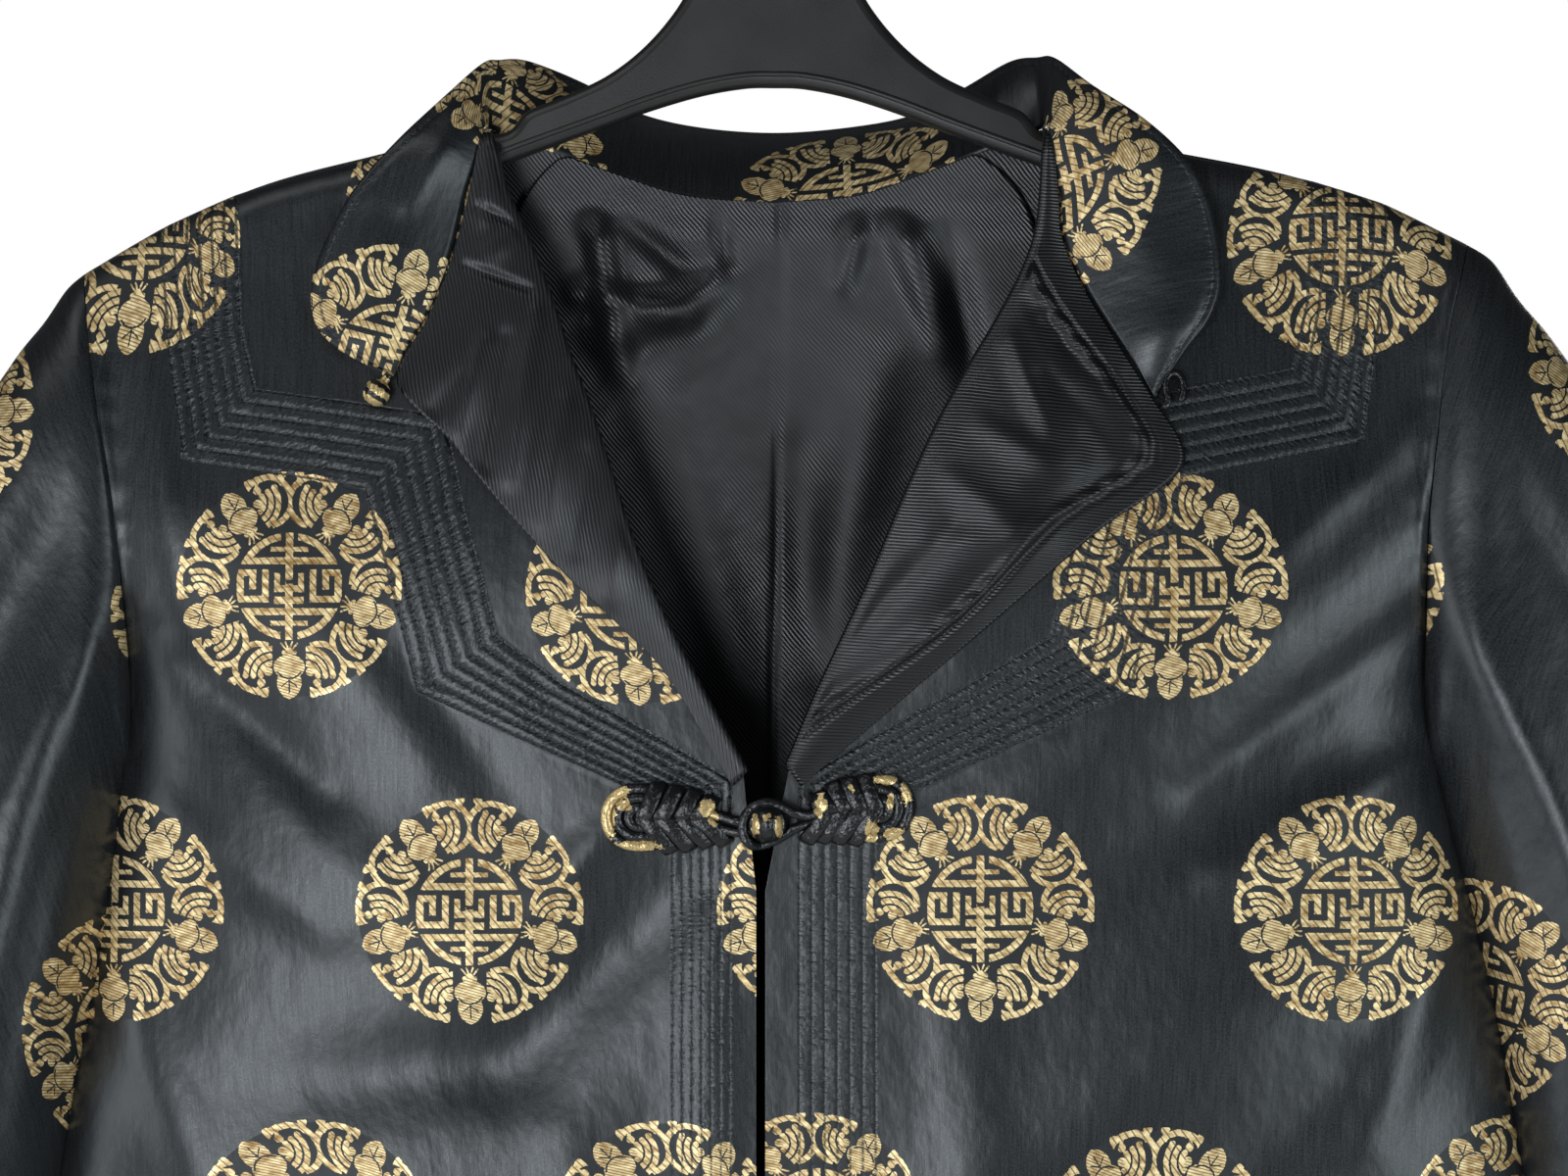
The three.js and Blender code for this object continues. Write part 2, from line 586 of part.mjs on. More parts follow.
function armholeRing(side) {
  const points = [];
  const add = (share, sign) => {
    const height = armholeHeight(side, share);
    const across = sideAcross(side, height) + SEAM_GAP / 2;
    const depth = height > UNDERARM ? ARMHOLE_DEPTH * armholeBulge(share) : 0;
    points.push(place(side, across, sign * depth, height));
  };
  ARMHOLE_SHARES.forEach(share => add(share, -1));
  ARMHOLE_SHARES.slice(1, -1).reverse().forEach(share => add(share, 1));
  return points;
}

function sleeve(side) {
  const outer = [armholeRing(side), ...SLEEVE.map((ring, k) => sleeveRing(side, ring, k + 1))];
  const pin = r => (r === 0 ? 'x' : null);
  const wide = outer[0].length;
  const outward = point => {
    const row = outer[Math.floor(outer.length / 2)];
    const opposite = row[(Math.floor(wide / 2) + wide / 2) % wide];
    return point.clone().sub(opposite);
  };
  return clothWall(outer, CLOTH, { wraps: true, pin, outward });
}

// Solids that are joined from cords and straps.
function solid(geometry) {
  const bare = geometry.clone();
  bare.deleteAttribute('normal');
  bare.deleteAttribute('uv');
  const merged = mergeVertices(bare, 1e-4);
  const vertProperties = new Float32Array(merged.attributes.position.array);
  const triVerts = new Uint32Array(merged.index.array);
  return new wasm.Manifold(new wasm.Mesh({ numProp: 3, vertProperties, triVerts }));
}

function joined(geometries) {
  const whole = geometries.map(solid).reduce((sum, next) => sum.add(next));
  const mesh = whole.getMesh();
  const geometry = new THREE.BufferGeometry();
  geometry.setAttribute('position', new THREE.BufferAttribute(new Float32Array(mesh.vertProperties), 3));
  geometry.setIndex(new THREE.BufferAttribute(new Uint32Array(mesh.triVerts), 1));
  return geometry;
}

const CORD_SIDES = 5;

function cordAlong(points, radius, steps, closed = false) {
  const section = new THREE.Shape();
  for (let k = 0; k < CORD_SIDES; k += 1) {
    const angle = (2 * Math.PI * k) / CORD_SIDES;
    const corner = [radius * Math.cos(angle), radius * Math.sin(angle)];
    if (k === 0) section.moveTo(...corner);
    else section.lineTo(...corner);
  }
  const path = new THREE.CatmullRomCurve3(points, closed);
  return new THREE.ExtrudeGeometry(section, { steps, extrudePath: path, bevelEnabled: false });
}

// A frog half lies on its front: cords looped at its outer end, a braid of crossed straps, and at the
// centre either a knot on two strands or the loop that goes round it.
const FROG = {
  outerLoop: [[27, 8], [40, 9], [50, 8], [55, 0], [50, -8], [40, -9], [27, -8]],
  innerLoop: [[32, 4.2], [42, 4.4], [48, 0], [42, -4.4], [32, -4.2]],
  braidFrom: 15,
  braidStep: 5.6,
  braidCount: 4,
  strap: { length: 10.5, width: 4.6, thick: 2.4, tilt: 38 },
};
const FROG_LIFT = QUILT_RISE + SEAM_GAP + CORD;

function onFront(side, across, height, out) {
  return place(side, across, -frontDepth(side, across, height) - out, height);
}

function frogBody(side, level) {
  const cord = (route, steps) =>
    cordAlong(route.map(([across, up]) => onFront(side, across, level + up, FROG_LIFT)), CORD, steps);
  const pieces = [cord(FROG.outerLoop, 11), cord(FROG.innerLoop, 6)];
  for (let k = 0; k < FROG.braidCount; k += 1) {
    for (const way of [1, -1]) {
      const across = FROG.braidFrom + FROG.braidStep * (k + (way > 0 ? 0.5 : 0)) + 2;
      const strap = new THREE.BoxGeometry(FROG.strap.length, FROG.strap.thick, FROG.strap.width);
      strap.rotateY(THREE.MathUtils.degToRad(FROG.strap.tilt * way * side.sign));
      const height = level + way * 2.9;
      const centre = onFront(side, across, height, FROG_LIFT + (way > 0 ? 0.8 : 0.2));
      strap.translate(centre.x, centre.y, centre.z);
      pieces.push(strap);
    }
  }
  return pieces;
}

function frogKnotHalf(level) {
  const pieces = frogBody(LEFT, level);
  for (const up of [2.2, -2.2]) {
    pieces.push(cordAlong([
      onFront(LEFT, 19, level + up, FROG_LIFT),
      onFront(LEFT, 11, level + up * 0.8, FROG_LIFT),
      onFront(LEFT, -KNOT_ACROSS + 1, level + up * 0.5, FROG_LIFT + 2.2),
    ], 1.2, 3));
  }
  const knot = new THREE.IcosahedronGeometry(KNOT_RADIUS, 1);
  const centre = onFront(LEFT, Math.abs(KNOT_ACROSS), level, QUILT_RISE + SEAM_GAP + KNOT_RADIUS + 0.4);
  knot.translate(centre.x, centre.y, centre.z);
  pieces.push(knot);
  return joined(pieces);
}

function frogLoopHalf(level) {
  const pieces = frogBody(RIGHT, level);
  const reach = KNOT_RADIUS + CORD + 0.7;
  pieces.push(cordAlong([
    onFront(RIGHT, 19, level + 2.4, FROG_LIFT),
    onFront(RIGHT, 9, level + 5.6, FROG_LIFT + 2.9),
    onFront(RIGHT, KNOT_ACROSS + 1, level + reach, FROG_LIFT + 1.6),
    onFront(RIGHT, KNOT_ACROSS - reach * 0.75, level + reach * 0.68, FROG_LIFT + 2.8),
    onFront(RIGHT, KNOT_ACROSS - reach - 0.4, level, FROG_LIFT + 3.6),
    onFront(RIGHT, KNOT_ACROSS - reach * 0.75, level - reach * 0.68, FROG_LIFT + 2.8),
    onFront(RIGHT, KNOT_ACROSS + 1, level - reach, FROG_LIFT + 1.6),
    onFront(RIGHT, 9, level - 5.6, FROG_LIFT + 1.2),
    onFront(RIGHT, 19, level - 2.4, FROG_LIFT),
  ], CORD - 0.1, 16));
  return joined(pieces);
}

// The neck closure: a small knot on the left and a thin loop on the right, at the front ends of the collar.
const NECK_KNOT = { across: 133.5, height: 141, radius: 4.6 };
const NECK_LOOP = { across: 131.5, height: 133, reach: 9, cord: 0.9 };

function neckButton() {
  const { across, height, radius } = NECK_KNOT;
  const knot = new THREE.IcosahedronGeometry(radius, 1);
  const centre = onFront(LEFT, across, height, radius + SEAM_GAP + 0.4);
  knot.translate(centre.x, centre.y, centre.z);
  return joined([knot]);
}

function neckLoop() {
  const { across, height, reach, cord } = NECK_LOOP;
  const lift = cord + QUILT_RISE + SEAM_GAP + 0.6;
  const at = (beside, up) => onFront(RIGHT, across + beside, height + up, lift);
  const route = [at(7, 1), at(9, 4), at(8, reach), at(11, reach + 3), at(13, reach - 1), at(12, 3)];
  return cordAlong(route, cord, 14);
}

// The hanger: one plastic moulding with two arms, a neck and a hook.
const HANGER_TOP = table('across height', [
  [8, 304], [14, 300], [24, 288], [33, 272], [44, 259], [57, 249], [72, 242], [86, 236.3], [90, 229.4],
]);
const HANGER_UNDER = table('across height', [
  [205, 178], [160, 196], [120, 208], [90, 217], [61, 226], [43, 231.5], [25, 237.5], [0, 243],
]);
const HANGER_BEVEL = 4.2;
const HOOK = { radius: 20, rod: 3 };

function hangerOutline() {
  const clearance = CLOTH + SEAM_GAP + 0.6;
  const halfTop = side => {
    const points = HANGER_TOP.map(({ across, height }) => [across, height]);
    for (const across of [100, 121, 151, 182, 200]) {
      points.push([across, shoulderHeight(side, across) - clearance]);
    }
    points.push([209, shoulderHeight(side, 209) - clearance - 4], [211, shoulderHeight(side, 211) - 14]);
    points.push([208, shoulderHeight(side, 209) - 20]);
    return points;
  };
  const halfUnder = side => HANGER_UNDER.map(({ across, height }) =>
    [across, height + (shoulderHeight(side, across) - shoulderHeight(RIGHT, across))]);
  const rightSide = [...halfTop(RIGHT), ...halfUnder(RIGHT)];
  const leftSide = [...halfTop(LEFT), ...halfUnder(LEFT).slice(0, -1)].reverse().map(([x, h]) => [-x, h]);
  return [...rightSide, ...leftSide];
}

function hanger() {
  const outline = hangerOutline().map(([across, height]) =>
    new THREE.Vector2(across, height - FROG_BELOW_HOOK));
  const depth = 2 * (HANGER_HALF_DEPTH - HANGER_BEVEL);
  const plate = new THREE.ExtrudeGeometry(new THREE.Shape(outline), {
    depth, bevelEnabled: true, bevelThickness: HANGER_BEVEL, bevelSize: HANGER_BEVEL,
    bevelOffset: -HANGER_BEVEL, bevelSegments: 3, curveSegments: 1,
  });
  plate.translate(0, 0, -depth / 2);
  plate.rotateX(Math.PI / 2);
  const top = HOOK.rod;
  const centre = top - HOOK.radius;
  const neck = HANGER_TOP[0].height - FROG_BELOW_HOOK;
  const under = centre - HOOK.radius;
  const route = [[0, neck - 12], [0, neck - 2], [0, under - 16], [7, under - 2]];
  for (const degrees of [-38, 0, 30, 60, 90, 120, 150, 180, 200]) {
    const angle = THREE.MathUtils.degToRad(degrees);
    route.push([HOOK.radius * Math.cos(angle), centre + HOOK.radius * Math.sin(angle)]);
  }
  const hook = cordAlong(route.map(([x, z]) => new THREE.Vector3(x, 0, z)), HOOK.rod, 30);
  return joined([plate, hook]);
}

addPiece('hanger', hanger(), plastic);
addPiece('back', back(), satin);
addPiece('lining_back', liningBack(), twill);
addPiece('collar', collar(), satin);
for (const side of [RIGHT, LEFT]) {
  addPiece(`front_${side.name}`, front(side), satin);
  addPiece(`facing_${side.name}`, facing(side), twill);
  addPiece(`sleeve_${side.name}`, sleeve(side), satin);
}
for (let k = 0; k < FROG_COUNT; k += 1) {
  addPiece(`frog_knot_${k + 1}`, frogKnotHalf(-k * FROG_DROP), cordSatin);
  addPiece(`frog_loop_${k + 1}`, frogLoopHalf(-k * FROG_DROP), cordSatin);
}
addPiece('neck_button', neckButton(), cordSatin);
addPiece('neck_loop', neckLoop(), cordSatin);

export default changshan;
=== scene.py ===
import math
import bpy
import numpy as np
from mathutils import Matrix, Vector


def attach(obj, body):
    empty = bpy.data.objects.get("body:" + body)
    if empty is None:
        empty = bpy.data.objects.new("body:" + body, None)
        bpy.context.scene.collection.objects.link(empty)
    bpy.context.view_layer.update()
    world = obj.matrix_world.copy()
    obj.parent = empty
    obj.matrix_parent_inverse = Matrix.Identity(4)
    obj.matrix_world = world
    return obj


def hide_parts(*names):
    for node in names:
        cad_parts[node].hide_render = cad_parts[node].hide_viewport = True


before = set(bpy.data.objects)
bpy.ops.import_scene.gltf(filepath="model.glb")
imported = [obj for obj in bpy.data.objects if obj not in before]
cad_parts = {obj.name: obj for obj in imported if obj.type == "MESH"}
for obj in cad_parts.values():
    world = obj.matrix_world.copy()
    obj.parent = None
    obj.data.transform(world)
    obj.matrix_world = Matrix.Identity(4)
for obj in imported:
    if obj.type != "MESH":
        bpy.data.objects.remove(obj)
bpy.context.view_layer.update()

# The studio: a pale floor well under the hem, a plain white surround, two windows, a soft light above, a
# bounce and a light at the back of the room. The camera looks level at the chest from straight in front.
bpy.ops.object.select_all(action="DESELECT")
bpy.ops.mesh.primitive_circle_add(vertices=128, radius=3.0, fill_type="NGON", location=(0, 0, -1.62))
floor = bpy.context.object
floor.name = "floor"
floor_paint = bpy.data.materials.new("floor_paint")
floor_paint.use_nodes = True
paint = floor_paint.node_tree.nodes["Principled BSDF"].inputs
paint["Base Color"].default_value = (0.8, 0.8, 0.79, 1)
paint["Roughness"].default_value = 0.8
paint["Emission Color"].default_value = (1, 1, 1, 1)
paint["Emission Strength"].default_value = 0.18
floor.data.materials.append(floor_paint)


def soft_box(name, place, aim, size, watts, colour):
    """A flat light that looks from its place at its aim."""
    bpy.ops.object.light_add(type="AREA", location=place)
    box = bpy.context.object
    box.name = name
    box.data.shape = "RECTANGLE"
    box.data.size, box.data.size_y = size
    box.data.energy = watts
    box.data.color = colour
    box.rotation_euler = (Vector(aim) - Vector(place)).to_track_quat("-Z", "Y").to_euler()


soft_box("window", (-0.62, -2.0, -0.62), (0, 0, -0.32), (0.62, 0.75), 20, (0.96, 0.98, 1))
soft_box("side window", (-1.75, -0.9, -0.5), (-0.25, 0, -0.4), (0.6, 1.2), 11, (0.96, 0.98, 1))
soft_box("ceiling", (-0.7, -0.9, 1.0), (0, 0, -0.3), (0.9, 0.5), 3.5, (1, 0.985, 0.96))
soft_box("bounce", (1.3, -1.5, -0.5), (0, 0, -0.35), (0.5, 1.0), 13, (0.93, 1, 1))
soft_box("back of the room", (0.9, 2.2, -0.45), (0, 0, -0.7), (1.4, 1.4), 34, (1, 0.99, 0.97))


def node(tree, kind, *values, **settings):
    """One shader node, with its sockets wired or set in order."""
    made = tree.nodes.new("ShaderNode" + kind)
    for setting, value in settings.items():
        setattr(made, setting, value)
    for socket, value in zip(made.inputs, values):
        value = getattr(value, "socket", value)
        if isinstance(value, bpy.types.NodeSocket):
            tree.links.new(value, socket)
        elif value is not None:
            socket.default_value = value
    return made


surround = bpy.data.worlds.new("surround")
bpy.context.scene.world = surround
surround.use_nodes = True
tree = surround.node_tree
tree.nodes.clear()
seen_white = node(tree, "Background", (1, 1, 1, 1)).outputs[0]
dim_room = node(tree, "Background", (0.9, 0.94, 1, 1), 0.055).outputs[0]
seen = node(tree, "LightPath").outputs["Is Camera Ray"]
node(tree, "OutputWorld", node(tree, "MixShader", seen, dim_room, seen_white).outputs[0])
bpy.context.scene.view_settings.view_transform = "Standard"

CAMERA_AWAY = 2.4
VIEW_WIDTH = 0.5246
bpy.ops.object.camera_add(location=(0.0033, -0.036 - CAMERA_AWAY, -0.2996), rotation=(math.pi / 2, 0, 0))
camera = bpy.context.object
camera.data.sensor_width = 36
camera.data.lens = 36 * CAMERA_AWAY / VIEW_WIDTH
bpy.context.scene.camera = camera

# The hanger: one moulding of semi-matt black plastic with rounded edges, a rim along its lower edge
# and a hook. Places on the garment are millimetres across from the centre and above the chest frog.
FROG_BELOW_HOOK = 375
SHOULDER = {
    "right": [(0, 247), (90, 232), (133, 224), (177, 215), (210, 204.5), (235, 192)],
    "left": [(0, 247), (96, 232), (133, 223), (177, 211), (216, 193), (234, 182)],
}
SIGN = {"right": 1, "left": -1}
HANGER_TOP = [(8, 304), (10.4, 302.6), (14, 300), (24, 288), (33, 272), (44, 259), (57, 249), (72, 242),
              (84, 237), (90, 230.5)]
HANGER_UNDER = [(205, 178), (160, 196), (120, 208), (90, 218.5), (61, 229), (43, 236), (25, 241.8), (10, 244.8),
                (0, 245.2)]


def read(rows, value, column=1, key=0):
    """A smooth curve through one column of a table, read at values of its key."""
    table = np.array(sorted(rows, key=lambda row: row[key]), dtype=float)
    x, y = table[:, key], table[:, column]
    value = np.clip(value, x[0], x[-1])
    k = np.clip(np.searchsorted(x, value, side="right") - 1, 0, len(x) - 2)
    step = np.diff(x)
    slope = np.diff(y) / step
    tangent = np.empty(len(x))
    tangent[0], tangent[-1] = slope[0], slope[-1]
    tangent[1:-1] = (slope[1:] * step[:-1] + slope[:-1] * step[1:]) / (step[1:] + step[:-1])
    tangent[1:-1][slope[1:] * slope[:-1] <= 0] = 0
    t = (value - x[k]) / step[k]
    return (y[k] * (1 + 2 * t) * (1 - t) ** 2 + y[k + 1] * t * t * (3 - 2 * t)
            + step[k] * (tangent[k] * t * (1 - t) ** 2 - tangent[k + 1] * t * t * (1 - t)))


def through(keys, count):
    """Evenly counted points on a smooth line through the key points."""
    keys = np.array(keys, dtype=float)
    t = np.linspace(0, len(keys) - 1, count)
    k = np.minimum(t.astype(int), len(keys) - 2)
    share = (t - k).reshape((-1,) + (1,) * (keys.ndim - 1))
    before = keys[np.maximum(k - 1, 0)]
    after = keys[np.minimum(k + 2, len(keys) - 1)]
    start, end = keys[k], keys[k + 1]
    return 0.5 * (2 * start + (end - before) * share + (2 * before - 5 * start + 4 * end - after) * share ** 2
                  + (3 * start - 3 * end + after - before) * share ** 3)


def metres(points):
    """Points in the frame, from millimetres across, deep and above the frog."""
    return (np.array(points, dtype=float) - (0, 0, FROG_BELOW_HOOK)) / 1000


class Number:
    """A number that shader nodes work out, for use in plain sums."""

    def __init__(self, socket):
        self.socket = socket

    def __abs__(self):
        return maths("ABSOLUTE", self)

    def __add__(self, other):
        return maths("ADD", self, other)

    def __sub__(self, other):
        return maths("SUBTRACT", self, other)

    def __rsub__(self, other):
        return maths("SUBTRACT", other, self)

    def __mul__(self, other):
        return maths("MULTIPLY", self, other)

    def __truediv__(self, other):
        return maths("DIVIDE", self, other)

    def __pow__(self, other):
        return maths("POWER", self, other)

    def __lt__(self, other):
        return maths("LESS_THAN", self, other)

    def __gt__(self, other):
        return maths("GREATER_THAN", self, other)


def worked(kind, operation, values):
    """The node for one sum, in the tree of the first socket among its values."""
    sockets = [getattr(value, "socket", value) for value in values]
    tree = next(socket.id_data for socket in sockets if isinstance(socket, bpy.types.NodeSocket))
    return node(tree, kind, *sockets, operation=operation)


def maths(operation, *values):
    """A sum of numbers."""
    return Number(worked("Math", operation, values).outputs[0])


def vectors(operation, *values):
    """A sum of places, which gives a place or a number."""
    made = worked("VectorMath", operation, values)
    if operation in ("LENGTH", "DISTANCE", "DOT_PRODUCT"):
        return Number(made.outputs["Value"])
    return made.outputs["Vector"]


def least(first, second):
    return maths("MINIMUM", first, second)


def most(first, second):
    return maths("MAXIMUM", first, second)


def split(place):
    """The three numbers of a place."""
    return [Number(part) for part in node(place.id_data, "SeparateXYZ", place).outputs]


def bare_finish(name):
    """A new material, its tree and its one shader."""
    made = bpy.data.materials.new(name)
    made.use_nodes = True
    return made, made.node_tree, made.node_tree.nodes["Principled BSDF"]


def mixed(share, first, second):
    """A blend of two colours, whose sockets come after those for numbers and places."""
    tree = share.socket.id_data
    return node(tree, "Mix", share, *[None] * 5, first, second, data_type="RGBA").outputs[2]


def noise(place, scale, detail=2.0):
    """Soft noise of 0 to 1 on a place, with its size in the place's own units."""
    return Number(node(place.id_data, "TexNoise", place, None, scale, detail).outputs[0])


def wired(shader, colour, roughness, height, deep=0.001, tint=None, metal=None):
    """The shader given its colour, roughness and relief, a depth in metres for a height of 1."""
    tree = shader.id_data
    relief = node(tree, "Bump")
    relief.inputs["Distance"].default_value = deep
    for value, socket in ((height, relief.inputs["Height"]), (relief.outputs[0], shader.inputs["Normal"]),
                          (colour, shader.inputs["Base Color"]), (roughness, shader.inputs["Roughness"]),
                          (metal, shader.inputs["Metallic"])):
        if value:
            tree.links.new(getattr(value, "socket", value), socket)
    if tint:
        shader.inputs["Specular Tint"].default_value = tint


moulded, tree, shader = bare_finish("moulded_plastic")
spot = node(tree, "TexCoord").outputs["Object"]
haze = noise(spot, 55, 3)
wired(shader, mixed(haze, (0.008, 0.008, 0.0085, 1), (0.015, 0.015, 0.0156, 1)),
      maths("MULTIPLY_ADD", haze, 0.16, 0.3), noise(spot, 2600, 1), 0.00003)


def hanger_half(name):
    """Half of the hanger's outline, out along the top of one arm and back under it."""
    top = HANGER_TOP + [(x, float(read(SHOULDER[name], x)) - 2.5) for x in (100, 121, 151, 182, 200)]
    top += [(209, float(read(SHOULDER[name], 209)) - 6.5), (211, float(read(SHOULDER[name], 211)) - 14),
            (208, float(read(SHOULDER[name], 209)) - 20)]
    drop = [float(read(SHOULDER[name], x) - read(SHOULDER["right"], x)) for x, h in HANGER_UNDER]
    under = [(x, h + d) for (x, h), d in zip(HANGER_UNDER, drop)]
    return through(top, 150), through([top[-1]] + under, 90)


right_top, right_under = hanger_half("right")
left_top, left_under = hanger_half("left")
outline = np.concatenate([right_top, right_under[1:], (left_under * (-1, 1))[::-1][1:],
                          (left_top * (-1, 1))[::-1][1:]])
HANGER_HALF = 5.5
EDGE_ROUND = 3.4


def chosen(*pieces):
    """The pieces as the only ones selected, with the first one active."""
    bpy.ops.object.select_all(action="DESELECT")
    for piece in pieces:
        piece.select_set(True)
    bpy.context.view_layer.objects.active = pieces[0]
    return pieces[0]


def put_in(name, data):
    """A new object in the scene, selected and active."""
    made = bpy.data.objects.new(name, data)
    bpy.context.collection.objects.link(made)
    return chosen(made)


def as_mesh(name, curve):
    """A curve as a mesh object of its own."""
    put_in(name, curve)
    bpy.ops.object.convert(target="MESH")
    return bpy.context.object


def follow(curve, line, closed=False):
    """A straight-sided spline through a line of points."""
    spline = curve.splines.new("POLY")
    spline.points.add(len(line) - 1)
    for point, place in zip(spline.points, line):
        point.co = (*place, 1)
    spline.use_cyclic_u = closed


slab = bpy.data.curves.new("slab", "CURVE")
slab.dimensions = "2D"
slab.fill_mode = "BOTH"
slab.extrude = (HANGER_HALF - EDGE_ROUND) / 1000
slab.bevel_depth = EDGE_ROUND / 1000
slab.bevel_resolution = 3
slab.offset = -EDGE_ROUND / 1000
follow(slab, [(x / 1000, (h - FROG_BELOW_HOOK) / 1000, 0) for x, h in outline], True)
hanger = as_mesh("hanger_moulding", slab)
hanger.data.transform(Matrix.Rotation(math.pi / 2, 4, "X"))


def rod(name, line, radius, sides=3):
    """A round rod along a line of points in metres, as a closed mesh."""
    curve = bpy.data.curves.new(name, "CURVE")
    curve.dimensions = "3D"
    curve.bevel_depth = radius
    curve.bevel_resolution = sides
    curve.use_fill_caps = True
    follow(curve, line)
    return as_mesh(name, curve)


HOOK_RADIUS = 20
HOOK_ROD = 3
turns = np.radians(np.linspace(-60, 200, 60))[3:]
hook_middle = FROG_BELOW_HOOK + HOOK_ROD - HOOK_RADIUS
stem = through([(0, 0, 292), (0, 0, 302), (0, 0, 318), (1.2, 0, 327), (6, 0, 335.5)], 24)
bow = [(HOOK_RADIUS * math.cos(a), 0, hook_middle + HOOK_RADIUS * math.sin(a)) for a in turns]
hook = rod("hook", metres([*stem, *bow]), HOOK_ROD / 1000, 5)
rims = []
for sign, under in ((1, right_under), (-1, left_under)):
    for face in (-1, 1):
        ledge = [(sign * x, face * (HANGER_HALF - 0.3), h + 4.4) for x, h in under[14:]]
        rims.append(rod("rim", metres(ledge), 0.001))
chosen(hanger, hook, *rims)
bpy.ops.object.join()
hanger.data.materials.clear()
hanger.data.materials.append(moulded)
hanger.data.shade_smooth()
bpy.ops.object.shade_smooth_by_angle(angle=math.radians(40))
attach(hanger, "root")
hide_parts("hanger")

# The fronts: black brocade satin, cut from the shoulder to the hem, each with a stepped band of quilting
# in seven rows of stitches that runs from the shoulder to the chest and on down the front edge.
HEM = -993
UNDERARM = 20
SHOULDER_ROUND = 9.5
EDGE = {"right": -3, "left": 6}
SIDE_SEAM = {
    "right": [(192, 235), (164, 228), (125, 223), (89, 220), (49, 221), (20, 225), (-19, 234), (-67, 246),
              (-106, 253), (-300, 276), (-600, 305), (HEM, 330)],
    "left": [(182, 234), (134, 228), (89, 223), (46, 220), (20, 222), (-12, 225), (-62, 232), (-90, 238),
             (-121, 243), (-300, 268), (-600, 301), (HEM, 330)],
}
# Each lapel row joins a point of the roll to the point of the outer edge: number, then both places.
LAPEL = {
    "right": [(0, 3, 17, 9, 9), (1, 13, 41, 40, 36), (2, 29, 75, 79, 69), (3, 42, 106, 108, 94),
              (4, 53, 130, 138, 119), (5, 64, 150, 127, 140), (6, 73, 165, 115, 159), (7, 82, 182, 104, 177),
              (8, 87, 196, 97, 194), (9, 89, 212, 96, 208), (9.5, 89.6, 222, 95.2, 219),
              (10, 91, 230.5, 94.2, 229.5)],
    "left": [(0, 8, 15, 14, 9), (1, 27, 50, 35, 45), (2, 37, 70, 51, 62), (3, 46, 92, 70, 80),
             (4, 54, 117, 92, 104), (5, 61, 138, 109, 125), (6, 67, 153, 127, 146), (7, 74, 174, 117, 166),
             (8, 81, 192, 109, 186), (9, 90, 213, 103, 210), (9.5, 92, 222, 101, 220),
             (10, 94.5, 229.5, 99.5, 228.5)],
}
# Soft folds: from one place to another across and high, then how wide and how far out.
FRONT_FOLDS = {
    "right": [(215, 92, 80, 6, 17, 4), (222, 48, 92, -34, 15, -3.5), (205, -40, 70, -120, 22, 3.5),
              (110, 150, 60, 60, 16, 2.5)],
    "left": [(30, -22, 90, -84, 17, -4), (90, -84, 165, -92, 17, -3.5), (205, 110, 120, 20, 18, 3),
             (190, 10, 100, -50, 18, 3.5)],
}
FINE_FOLDS = {
    "right": [(212, 128, 150, 70, 8, 1.9), (216, 64, 140, 8, 7, -1.7), (224, 20, 150, -22, 8, 2.0),
              (60, -40, 70, -150, 12, 1.5), (190, -90, 120, -170, 13, -2.2), (232, -30, 200, -110, 9, 2.2),
              (40, -10, 62, 4, 5, 1.2), (150, 196, 120, 150, 9, 1.4), (212, 186, 196, 120, 8, -1.5)],
    "left": [(212, 150, 200, 60, 9, 1.7), (206, 60, 150, 6, 8, -1.9), (222, 10, 150, -40, 9, 2.0),
             (24, -40, 20, -150, 10, 1.4), (70, -110, 60, -190, 13, 2.0), (228, -40, 190, -130, 10, 2.2),
             (50, 0, 78, -30, 6, 1.4), (150, 190, 118, 140, 9, 1.2), (130, 60, 80, -6, 10, -1.5)],
}
HANGING_FOLDS = [(62, 24, 7), (110, 22, -6), (160, 26, 8), (212, 24, -7), (262, 26, 8), (300, 16, -5)]


def ease(value, start, end):
    """A smooth step from 0 to 1."""
    t = np.clip((value - start) / (end - start), 0, 1)
    return t * t * (3 - 2 * t)


def blend(first, second, share):
    """From the first to the second by a share of 0 to 1."""
    return first + (second - first) * share


def running(line):
    """How far along a line each of its points lies."""
    return np.concatenate([[0], np.cumsum(np.linalg.norm(np.diff(line, axis=0), axis=1))])


def folded(folds, x, h):
    """How far soft folds stand out of a flat place, each fading towards its ends."""
    rise = np.zeros(np.shape(x))
    for x0, h0, x1, h1, width, out in folds:
        run = np.array((x1 - x0, h1 - h0))
        share = np.clip(((x - x0) * run[0] + (h - h0) * run[1]) / (run @ run), 0, 1)
        beside = np.hypot(x - x0 - share * run[0], h - h0 - share * run[1])
        rise = rise + out * np.exp(-(beside / width) ** 2) * (0.6 + 0.4 * np.sin(math.pi * share))
    return rise


def hanging(name, x, h):
    """The long folds of the skirt, which deepen towards the hem."""
    depth = ease(-h, 120, -HEM)
    spread = blend(0.8, 1.0, depth)
    rise = sum(out * np.exp(-((np.abs(x) - (across + 8 * SIGN[name]) * spread) / width) ** 2)
               for across, width, out in HANGING_FOLDS)
    return rise * depth


def armhole_round(share):
    """A round sleeve's half depth as a share of its most, from its top to its seam."""
    return np.sqrt(np.maximum(1 - np.abs(1 - 2 * np.clip(share, 0, 1)) ** 2.6, 0))


